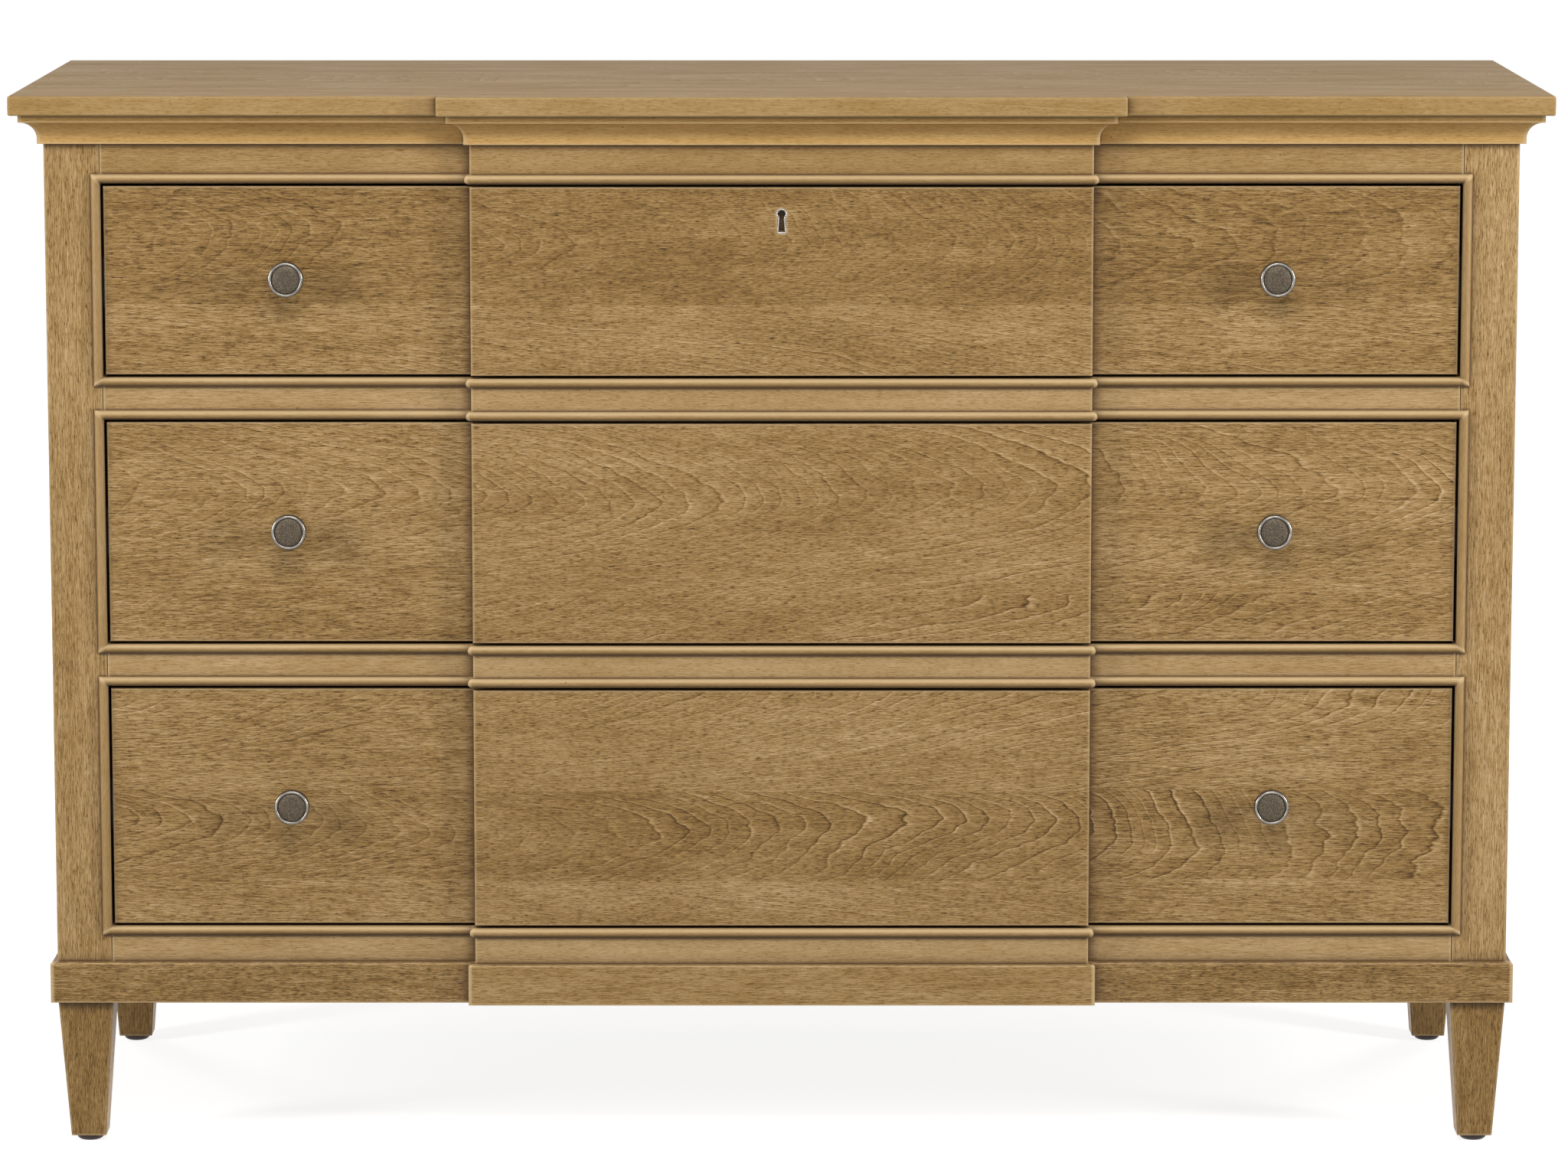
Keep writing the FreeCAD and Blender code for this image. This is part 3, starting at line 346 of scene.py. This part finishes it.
def timber(
    name, run, tones, tone=0.0, figure=0.4, fleck=0.7, boards=None,
    glaze_and_shade=1.0, crown=0.0, gloss=0.44, specular=0.35,
):
    """A board or moulding of close-grained wood.

    Growth rings cut by the face give pale-edged dark lines, cathedrals where the cut is tangent to them.
    Vessels give short dark dashes along the fibres, and the tone changes in patches. On wood with glazing the
    corners and quirks get painted shade, where glazing also gathers, the edges are rubbed pale and there are
    a few specks; beads also get a painted highlight on the upper side and painted shade on the lower side.
    """
    material, tree, shader = new_material(name)
    place = grain_place(tree, run)

    # Each board has its own tone and its own place in the log: the four channels of a ramp over the height
    board_tone, heart_height, heart_depth = PLAIN_TONE, PLAIN_HEART_HEIGHT, PLAIN_HEART_DEPTH
    if boards:
        height = add(tree, "SeparateXYZ", {0: add(tree, "TexCoord").outputs["Object"]}).outputs["Z"]
        table = add(tree, "ValToRGB", {0: height}, stops=[(foot, board) for foot, *board in boards])
        table.color_ramp.interpolation = "CONSTANT"
        board_tone, heart_height, heart_depth = add(tree, "SeparateColor", {0: table}).outputs
        figure = table.outputs["Alpha"]

    ring_line, ring_strength = growth_rings(tree, place, heart_height, heart_depth, figure)
    fibres = streaks(tree, place, FIBRE_LENGTHS, detail=3.0, roughness=0.7)
    vessel_noise = streaks(tree, place, VESSEL_LENGTHS, detail=3.0, roughness=0.65)
    vessels = add(tree, "ValToRGB", {0: vessel_noise}, stops=VESSEL_STOPS)
    curl = streaks(tree, place, CURL_LENGTHS, detail=3.0, roughness=0.6)
    patch = streaks(tree, place, PATCH_LENGTHS, detail=4.0, roughness=0.6)

    # One value from dark to light
    shift = tone - FLECK_MEAN * fleck - PATCH_MEAN
    value = add(tree, "Math", {0: board_tone, 1: shift}, operation="ADD")
    for pattern, weight in (
        (fibres, FIBRE_WEIGHT * fleck),
        (vessels, VESSEL_WEIGHT * fleck),
        (curl, CURL_WEIGHT * fleck),
        (patch, PATCH_WEIGHT * fleck + PATCH_LEAST),
        (ring_line, ring_strength),
    ):
        value = add(tree, "Math", {0: pattern, 1: weight, 2: value}, operation="MULTIPLY_ADD")
    last = len(tones) - 1
    tone_stops = [(i / last, linear(hex_text)) for i, hex_text in enumerate(tones)]
    colour = add(tree, "ValToRGB", {0: value}, stops=tone_stops)
    if glaze_and_shade:
        colour = glazed_and_shaded(tree, colour, place, glaze_and_shade, crown)

    edges = add(tree, "Bevel", {"Radius": EDGE_RADIUS}, samples=4)
    bump = add(tree, "Bump", {
        "Strength": PORE_STRENGTH, "Distance": PORE_DEPTH, "Height": vessels, "Normal": edges,
    })
    sheen = add(tree, "MapRange", {
        "Value": patch, "From Min": 0.3, "From Max": 0.7,
        "To Min": gloss + SHEEN_RANGE, "To Max": gloss - SHEEN_RANGE,
    })
    plug(tree, shader, {
        "Base Color": colour, "Roughness": sheen, "IOR": WOOD_IOR,
        "Specular IOR Level": specular, "Normal": bump,
    })
    return material


# Zinc-plated rolled steel: bluish grey, faint draw lines along the slides and soft clouding of the plating
DRAW_LENGTHS = (60 * MM, 1.1 * MM, 1.1 * MM)
PLATING_LENGTHS = (26 * MM, 9 * MM, 9 * MM)
PLATING_WEIGHT = 0.4
DRAW_DEPTH = 0.05 * MM


def zinc_steel(name):
    material, tree, shader = new_material(name)
    place = grain_place(tree, "side")
    lines = streaks(tree, place, DRAW_LENGTHS, detail=3.0, roughness=0.6)
    clouds = streaks(tree, place, PLATING_LENGTHS, detail=4.0, roughness=0.6)
    mixed = add(tree, "Math", {0: clouds, 1: PLATING_WEIGHT, 2: lines}, operation="MULTIPLY_ADD")
    colour = add(tree, "ValToRGB", {0: mixed}, stops=[(0.7, linear("9a9ea2")), (1.0, linear("abaeb1"))])
    rough = add(tree, "MapRange", {
        "Value": mixed, "From Min": 0.7, "From Max": 1.3, "To Min": 0.42, "To Max": 0.28,
    })
    bump = add(tree, "Bump", {"Strength": 0.2, "Distance": DRAW_DEPTH, "Height": lines})
    plug(tree, shader, {"Base Color": colour, "Metallic": 1.0, "Roughness": rough, "Normal": bump})
    return material


# Cast and polished metal, pewter or nickel: grey, slightly warm, with a soft polish that varies a little
POLISH_LENGTHS = (5 * MM, 5 * MM, 5 * MM)
POLISH_RANGE = 0.02


def polished_metal(name, dark, pale, roughness):
    material, tree, shader = new_material(name)
    place = add(tree, "TexCoord").outputs["Object"]
    clouds = streaks(tree, place, POLISH_LENGTHS, detail=4.0, roughness=0.6)
    colour = add(tree, "ValToRGB", {0: clouds}, stops=[(0.3, linear(dark)), (0.7, linear(pale))])
    rough = add(tree, "MapRange", {
        "Value": clouds, "From Min": 0.3, "From Max": 0.7,
        "To Min": roughness + POLISH_RANGE, "To Max": roughness - POLISH_RANGE,
    })
    plug(tree, shader, {"Base Color": colour, "Metallic": 1.0, "Roughness": rough})
    return material


# Oxidised pewter: the dark, grainy dish and back of the knobs, with pale grains where the oxide is thin
OXIDE_LENGTHS = (1.1 * MM, 1.1 * MM, 1.1 * MM)
OXIDE_DEPTH = 0.12 * MM


def oxidised_pewter(name):
    material, tree, shader = new_material(name)
    place = add(tree, "TexCoord").outputs["Object"]
    grains = streaks(tree, place, OXIDE_LENGTHS, detail=3.0, roughness=0.7)
    colour = add(tree, "ValToRGB", {0: grains}, stops=[
        (0.35, linear("423a30")), (0.5, linear("574e42")), (0.65, linear("756b5d")),
    ])
    bump = add(tree, "Bump", {"Strength": 0.5, "Distance": OXIDE_DEPTH, "Height": grains})
    plug(tree, shader, {"Base Color": colour, "Metallic": 1.0, "Roughness": 0.55, "Normal": bump})
    return material


# Moulded dark-brown plastic of the glides: fine moulded texture and paler, duller scuffs
MOULD_LENGTHS = (1.2 * MM, 1.2 * MM, 1.2 * MM)
MOULD_DEPTH = 0.06 * MM
SCUFF_LENGTHS = (14 * MM, 3 * MM, 4 * MM)
PLASTIC_IOR = 1.5


def glide_plastic(name):
    material, tree, shader = new_material(name)
    place = add(tree, "TexCoord").outputs["Object"]
    texture = streaks(tree, place, MOULD_LENGTHS)
    scuffs = streaks(tree, place, SCUFF_LENGTHS, detail=4.0, roughness=0.65)
    colour = add(tree, "ValToRGB", {0: scuffs}, stops=[
        (0.35, linear("26150f")), (0.6, linear("33201a")), (0.75, linear("4a342b")),
    ])
    rough = add(tree, "MapRange", {
        "Value": scuffs, "From Min": 0.3, "From Max": 0.7, "To Min": 0.38, "To Max": 0.6,
    })
    bump = add(tree, "Bump", {"Strength": 0.3, "Distance": MOULD_DEPTH, "Height": texture})
    plug(tree, shader, {"Base Color": colour, "Roughness": rough, "IOR": PLASTIC_IOR, "Normal": bump})
    return material


# Finishes of the case
finish(["top_panel"], timber(
    "birch_top", "flat", STAINED_BIRCH, tone=0.07, figure=0.4, fleck=0.3, gloss=0.5, specular=0.08,
))
finish(["front_left_post", "rear_left_post", "rear_right_post"], timber(
    "birch_posts", "upright", STAINED_BIRCH, fleck=1.15, boards=POST_BOARDS,
))
finish(["front_right_post"], timber(
    "pale_birch_post", "upright", STAINED_BIRCH, fleck=1.2, boards=PALE_POST_BOARDS,
))
finish(
    ["frieze_rail", "upper_divider_rail", "lower_divider_rail", "bottom_rail", "rail_centre_blocks"],
    timber("birch_rails", "level", STAINED_BIRCH, fleck=0.65, boards=RAIL_BOARDS),
)
# The cove's warmer palette is partly its stain and partly painted warm shade under the top
finish(["cornice_left", "cornice_centre", "cornice_right"], timber(
    "birch_cornice", "moulding", COVE_BIRCH_WARM_SHADE, tone=0.22, figure=0.2, fleck=0.55, glaze_and_shade=0.4, specular=0.08,
))
finish(["base_left", "base_right"], timber(
    "birch_base_wings", "moulding", STAINED_BIRCH, tone=-0.05, figure=0.5, fleck=1.65,
))
finish(["base_centre"], timber(
    "birch_base_centre", "moulding", STAINED_BIRCH, tone=0.03, figure=0.3, fleck=0.95,
))
# The beads get a painted highlight on their upper side and painted shade on their lower side
finish([f"{level}_opening_bead" for level in LEVELS], timber(
    "birch_beads", "bead", STAINED_BIRCH, tone=0.02, figure=0.1, fleck=0.4, glaze_and_shade=1.3, crown=0.6,
))
finish(["left_end_panel", "right_end_panel"], timber(
    "birch_end_panels", "upright", STAINED_BIRCH, tone=0.03, figure=0.5,
))
finish(["left_side_rails", "right_side_rails"], timber(
    "birch_side_rails", "side", STAINED_BIRCH, tone=0.05, figure=0.2, fleck=0.5,
))
finish(["rear_rails"], timber("poplar_rails", "level", BARE_POPLAR, glaze_and_shade=0.0, gloss=0.6))
finish(["slide_cleats"], timber("poplar_cleats", "side", BARE_POPLAR, glaze_and_shade=0.0, gloss=0.6))
finish(["case_bottom"], timber("case_bottom_ply", "flat", BACK_PLY, glaze_and_shade=0.0, gloss=0.6))
finish(["back_panel"], timber("back_ply", "upright", BACK_PLY, figure=0.7, glaze_and_shade=0.0, gloss=0.6))
finish(["leg_glides"], glide_plastic("moulded_plastic"))

# Finishes of the drawers
front_birch = timber("birch_fronts", "level", STAINED_BIRCH, fleck=1.35, boards=FRONT_BOARDS)
box_side_birch = timber("bare_birch_sides", "side", BARE_BIRCH, glaze_and_shade=0.0, gloss=0.5)
box_back_birch = timber("bare_birch_backs", "level", BARE_BIRCH, glaze_and_shade=0.0, gloss=0.5)
box_floor_ply = timber("drawer_ply", "flat", BARE_BIRCH, tone=0.04, figure=0.5, glaze_and_shade=0.0, gloss=0.5)
slide_zinc = zinc_steel("zinc_plated_steel")
for level in LEVELS:
    finish([f"{level}_drawer_front", f"{level}_drawer_centre_panel"], front_birch)
    finish([f"{level}_drawer_left_side", f"{level}_drawer_right_side"], box_side_birch)
    finish([f"{level}_drawer_back"], box_back_birch)
    finish([f"{level}_drawer_bottom"], box_floor_ply)
    finish([f"{level}_drawer_slides", f"{level}_slide_middles"], slide_zinc)
finish(["case_slides"], slide_zinc)

# Knobs: turned with a burnished rim, a dish set off by a groove, and a slender neck
KNOB_STEPS = 72
MERGE_DISTANCE = 0.01 * MM
# Radius and distance behind the rim in millimetres, from the middle of the dish round to the foot
KNOB_DISH_PROFILE = [
    (0.0, 1.2), (6.5, 1.2), (12.2, 1.2), (12.35, 1.35), (12.5, 1.7), (12.7, 1.7), (12.85, 1.1),
]
KNOB_RIM_PROFILE = [
    (12.85, 1.1), (13.0, 0.7), (13.25, 0.35), (13.6, 0.1), (14.0, 0.0), (14.4, 0.06), (14.8, 0.25),
    (15.15, 0.54),
]
KNOB_BACK_PROFILE = [
    (15.15, 0.54), (15.5, 1.05), (15.72, 1.8), (15.8, 2.7), (15.8, 6.0), (15.72, 6.6), (15.45, 7.1),
    (15.0, 7.6), (14.4, 8.0), (13.2, 8.9), (11.6, 10.2), (9.9, 11.9), (8.2, 14.1), (6.9, 16.2),
    (6.2, 17.6), (6.0, 18.2), (6.3, 20.0), (7.0, 22.6), (7.7, 25.0), (8.0, 26.0), (0.0, 26.0),
]
rim_pewter = polished_metal("polished_pewter", "7b766f", "96918a", 0.27)
dish_pewter = oxidised_pewter("oxidised_pewter")


def turn(mesh, profile, centre, material_index):
    """Spin a profile of radius and distance behind the centre round an axis along Y."""
    points = [
        mesh.verts.new((centre.x + radius * MM, centre.y + distance * MM, centre.z))
        for radius, distance in profile
    ]
    lines = [mesh.edges.new(pair) for pair in zip(points, points[1:])]
    known = set(mesh.faces)
    bmesh.ops.spin(
        mesh, geom=points + lines, cent=centre, axis=(0.0, 1.0, 0.0), dvec=(0.0, 0.0, 0.0),
        angle=FULL_TURN, steps=KNOB_STEPS, use_merge=True,
    )
    for face in set(mesh.faces) - known:
        face.material_index = material_index


for level in LEVELS:
    low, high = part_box(f"{level}_drawer_knobs")
    knob_radius = (high.z - low.z) / 2
    knob_mesh = bmesh.new()
    for side in (low.x + knob_radius, high.x - knob_radius):
        knob_centre = Vector((side, low.y, (low.z + high.z) / 2))
        turn(knob_mesh, KNOB_RIM_PROFILE, knob_centre, 0)
        turn(knob_mesh, KNOB_DISH_PROFILE, knob_centre, 1)
        turn(knob_mesh, KNOB_BACK_PROFILE, knob_centre, 1)
    bmesh.ops.remove_doubles(knob_mesh, verts=knob_mesh.verts, dist=MERGE_DISTANCE)
    bmesh.ops.recalc_face_normals(knob_mesh, faces=knob_mesh.faces)
    knobs = new_piece(f"{level}_turned_knobs", knob_mesh, [rim_pewter, dish_pewter], smooth=True)
    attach(knobs, f"{level}_drawer")
    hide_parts(f"{level}_drawer_knobs")

# Pan-head screws with a cross recess hold the knobs, and the slides to the sides of the drawers
SCREW_STEPS = 24
PAN_WALL_SHARE = 0.45
# The crown steps in by shares of the radius and up by shares of the height; the last step is the recess
PAN_CROWN_STEPS = ((0.1, 0.33), (0.14, 0.16), (0.14, 0.06), (0.05, 0.0))
RECESS_ARM = 2.0 * MM
RECESS_HALF_SLOT = 0.45 * MM
RECESS_DEPTH = 1.5 * MM
RECESS_TAPER = 0.6
KNOB_SCREW_HEAD_HEIGHT = 2.6 * MM
KNOB_SCREW_RADIUS = 2.0 * MM
SLIDE_SCREW_RADIUS = 3.8 * MM
SLIDE_SCREW_HEIGHT = 2.2 * MM
SLIDE_SHEET = 1.2 * MM
SLIDE_SCREW_PLACES = (35 * MM, 131 * MM, 259 * MM, 355 * MM)
BACKWARDS = Vector((0.0, 1.0, 0.0))


def pan_screw(name, radius, height, shank_radius=0.0, shank_length=0.0):
    """A screw that stands on the origin with its head up and its shank below."""
    mesh = bmesh.new()
    bmesh.ops.create_circle(mesh, cap_ends=True, segments=SCREW_STEPS, radius=radius)
    under = mesh.faces[:][0]
    raised = bmesh.ops.extrude_face_region(mesh, geom=[under], use_keep_orig=True)["geom"]
    crown = [item for item in raised if isinstance(item, bmesh.types.BMFace)][0]
    bmesh.ops.translate(mesh, verts=crown.verts, vec=(0.0, 0.0, PAN_WALL_SHARE * height))
    for inset_share, rise_share in PAN_CROWN_STEPS:
        bmesh.ops.inset_individual(mesh, faces=[crown], thickness=inset_share * radius, use_even_offset=True)
        bmesh.ops.translate(mesh, verts=crown.verts, vec=(0.0, 0.0, rise_share * height))
    for point in crown.verts:
        way = point.co.xy.normalized()
        point.co.xy = way * RECESS_ARM / max(abs(way.x), abs(way.y))
        overshoot = min(abs(point.co.x), abs(point.co.y)) / RECESS_HALF_SLOT
        point.co.xy /= max(overshoot, 1.0)
    floor_points = bmesh.ops.extrude_discrete_faces(mesh, faces=[crown])["faces"][0].verts
    bmesh.ops.scale(mesh, vec=(RECESS_TAPER, RECESS_TAPER, 1.0), verts=floor_points)
    bmesh.ops.translate(mesh, verts=floor_points, vec=(0.0, 0.0, -RECESS_DEPTH))
    if shank_length:
        bmesh.ops.inset_individual(mesh, faces=[under], thickness=radius - shank_radius, use_even_offset=True)
        tip = bmesh.ops.extrude_discrete_faces(mesh, faces=[under])["faces"][0]
        bmesh.ops.translate(mesh, verts=tip.verts, vec=(0.0, 0.0, -shank_length))
    bmesh.ops.recalc_face_normals(mesh, faces=mesh.faces)
    data = bpy.data.meshes.new(name)
    mesh.to_mesh(data)
    mesh.free()
    return data


def drive_screws(name, screw, places, body):
    """One piece of like screws, each at a place and pointing its head along a direction."""
    mesh = bmesh.new()
    for place, direction in places:
        known = set(mesh.verts)
        mesh.from_mesh(screw)
        turned = direction.to_track_quat("Z", "Y").to_matrix().to_4x4()
        turned.translation = place
        bmesh.ops.transform(mesh, matrix=turned, verts=[point for point in mesh.verts if point not in known])
    piece = new_piece(name, mesh, [slide_zinc], smooth=False)
    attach(piece, body)
    return piece


for level in LEVELS:
    low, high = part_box(f"{level}_knob_screws")
    head_radius = (high.z - low.z) / 2
    seat = high.y - KNOB_SCREW_HEAD_HEIGHT
    screw = pan_screw(
        f"{level}_knob_screw", head_radius, KNOB_SCREW_HEAD_HEIGHT, KNOB_SCREW_RADIUS, seat - low.y,
    )
    sides = (low.x + head_radius, high.x - head_radius)
    places = [(Vector((side, seat, (low.z + high.z) / 2)), BACKWARDS) for side in sides]
    knob_screws = drive_screws(f"{level}_pan_screws", screw, places, f"{level}_drawer")
    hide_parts(f"{level}_knob_screws")

    low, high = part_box(f"{level}_drawer_slides")
    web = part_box(f"{level}_drawer_right_side")[1].x + SLIDE_SHEET
    screw = pan_screw(f"{level}_slide_screw", SLIDE_SCREW_RADIUS, SLIDE_SCREW_HEIGHT)
    places = [
        (Vector((side * web, low.y + along, (low.z + high.z) / 2)), Vector((side, 0.0, 0.0)))
        for side in (-1.0, 1.0) for along in SLIDE_SCREW_PLACES
    ]
    drive_screws(f"{level}_slide_screws", screw, places, f"{level}_drawer")

# Keyhole plate: a thin ring in the shape of a keyhole, with rounded lips and corners
PLATE_RING = 1.2 * MM
PLATE_LIP = 0.4 * MM
PLATE_LIP_STEPS = 4
PLATE_LIP_ANGLE = math.radians(60)
PLATE_CORNER = 1.5 * MM
PLATE_CORNER_STEPS = 6
PLATE_WAIST_SHARE = 0.66
PLATE_FOOT_SHARE = 0.86
PLATE_HEAD_STEPS = 40

low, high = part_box("keyhole_plate")
head_radius = (high.x - low.x) / 2
head_centre = Vector(((low.x + high.x) / 2, low.y, high.z - head_radius))
waist_angle = math.asin(PLATE_WAIST_SHARE)
waist = head_radius * Vector((PLATE_WAIST_SHARE, 0.0, -math.cos(waist_angle)))
foot = Vector((PLATE_FOOT_SHARE * head_radius, 0.0, low.z - head_centre.z))

# The outline, as one face with rounded corners
plate_mesh = bmesh.new()
plate_mesh.verts.new(head_centre + waist)
bmesh.ops.spin(
    plate_mesh, geom=plate_mesh.verts[:], cent=head_centre, axis=(0.0, -1.0, 0.0), dvec=(0.0, 0.0, 0.0),
    angle=FULL_TURN - 2 * waist_angle, steps=PLATE_HEAD_STEPS,
)
head_arc = plate_mesh.verts[:]
feet = [plate_mesh.verts.new(head_centre + foot * Vector((side, 0.0, 1.0))) for side in (-1.0, 1.0)]
plate_mesh.faces.new(head_arc + feet)
bmesh.ops.bevel(
    plate_mesh, geom=feet + [head_arc[0], head_arc[-1]], offset=PLATE_CORNER, segments=PLATE_CORNER_STEPS,
    profile=0.5, affect="VERTICES", material=-1,
)

# The ring, as thick as the plate, with its front lips rounded
blank = plate_mesh.faces[:][0]
ring = bmesh.ops.inset_region(
    plate_mesh, faces=[blank], thickness=PLATE_RING, use_even_offset=True, use_boundary=True,
)
bmesh.ops.delete(plate_mesh, geom=[blank], context="FACES")
back = bmesh.ops.extrude_face_region(plate_mesh, geom=ring["faces"], use_keep_orig=True)["geom"]
back_points = [item for item in back if isinstance(item, bmesh.types.BMVert)]
bmesh.ops.translate(plate_mesh, verts=back_points, vec=(0.0, high.y - low.y, 0.0))
bmesh.ops.recalc_face_normals(plate_mesh, faces=plate_mesh.faces)
lips = [edge for edge in plate_mesh.edges if edge.calc_face_angle() > PLATE_LIP_ANGLE]
lips = [edge for edge in lips if all(point.co.y < low.y + PLATE_LIP for point in edge.verts)]
bmesh.ops.bevel(
    plate_mesh, geom=lips, offset=PLATE_LIP, segments=PLATE_LIP_STEPS,
    profile=0.5, affect="EDGES", material=-1,
)
plate_nickel = polished_metal("polished_nickel", "a5a39f", "c6c4c0", 0.18)
keyhole_ring = new_piece("keyhole_ring", plate_mesh, [plate_nickel], smooth=True)
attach(keyhole_ring, "top_drawer")
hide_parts("keyhole_plate")

# Studio: a white floor, a white surround and soft boxes at both sides, above and behind
FLOOR_SIZE = 60.0
# The floor is lifted to full white between these distances from the middle
FLOOR_LIFT = {"From Min": 0.75, "From Max": 2.6, "To Min": 0.82, "To Max": 1.0}
# The surround lights the object only a little
SURROUND_STRENGTH = {"To Min": 0.08, "To Max": 1.0}
# Name, place, target, width and height in metres, power in watts; the rear boxes stay below the top
SOFT_BOXES = [
    ("left_box", (-3.0, -1.5, 1.3), (-0.3, -0.2, 0.5), 0.45, 1.3, 60),
    ("right_box", (3.0, -1.5, 1.3), (0.3, -0.2, 0.5), 0.45, 1.3, 68),
    ("top_box", (0.0, -2.7, 3.2), (0.0, 0.0, 0.6), 2.6, 1.0, 78),
    ("rear_left_box", (-2.4, 3.0, 0.55), (-0.2, 0.25, 0.5), 1.0, 0.6, 85),
    ("rear_right_box", (2.4, 3.0, 0.55), (0.2, 0.25, 0.5), 1.0, 0.6, 85),
]


def seen_white(tree):
    """One where the camera, gloss or glass looks, zero where light comes from."""
    path = add(tree, "LightPath").outputs
    seen = add(tree, "Math", {0: path["Is Camera Ray"], 1: path["Is Glossy Ray"]}, operation="ADD")
    return add(tree, "Math", {0: seen, 1: path["Is Transmission Ray"]}, operation="ADD", use_clamp=True)


# Matt white floor sweep: keeps the shadow by the object and goes to full white away from it
material, tree, shader = new_material("matt_white_sweep")
place = add(tree, "TexCoord").outputs["Object"]
distance = add(tree, "VectorMath", {0: place}, operation="LENGTH").outputs["Value"]
lift = add(tree, "MapRange", {"Value": distance, **FLOOR_LIFT})
strength = add(tree, "Math", {0: seen_white(tree), 1: lift}, operation="MULTIPLY")
plug(tree, shader, {
    "Base Color": linear("a0a0a0"), "Roughness": 0.9, "Specular IOR Level": 0.0,
    "Emission Color": WHITE, "Emission Strength": strength,
})
bpy.ops.mesh.primitive_plane_add(size=FLOOR_SIZE)
floor = bpy.context.object
floor.name = "studio_floor"
floor.data.materials.append(material)
floor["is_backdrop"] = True

world = bpy.data.worlds.new("studio")
bpy.context.scene.world = world
world.use_nodes = True
tree = world.node_tree
tree.nodes.clear()
strength = add(tree, "MapRange", {"Value": seen_white(tree), **SURROUND_STRENGTH})
background = add(tree, "Background", {"Color": WHITE, "Strength": strength})
add(tree, "OutputWorld", {"Surface": background})

for name, place, target, width, height, power in SOFT_BOXES:
    lamp = bpy.data.lights.new(name, "AREA")
    lamp.shape = "RECTANGLE"
    lamp.size = width
    lamp.size_y = height
    lamp.energy = power
    holder = bpy.data.objects.new(name, lamp)
    holder.location = place
    holder.rotation_mode = "QUATERNION"
    holder.rotation_quaternion = (Vector(target) - Vector(place)).to_track_quat("-Z", "Y")
    holder.visible_camera = False
    bpy.context.scene.collection.objects.link(holder)

# Camera: in front of the middle and a little higher than the top, looking slightly down at the fronts
CAMERA_PLACE = (0.0021, -5.73, 1.347)
CAMERA_PITCH = math.radians(8.597)
CAMERA_LENS = 142.35
CAMERA_SENSOR = 36.0

lens = bpy.data.cameras.new("camera")
lens.sensor_width = CAMERA_SENSOR
lens.lens = CAMERA_LENS
camera = bpy.data.objects.new("camera", lens)
camera.location = CAMERA_PLACE
camera.rotation_euler = (math.radians(90) - CAMERA_PITCH, 0.0, 0.0)
bpy.context.scene.collection.objects.link(camera)
bpy.context.scene.camera = camera
bpy.context.scene.view_settings.view_transform = "Standard"

low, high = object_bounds()
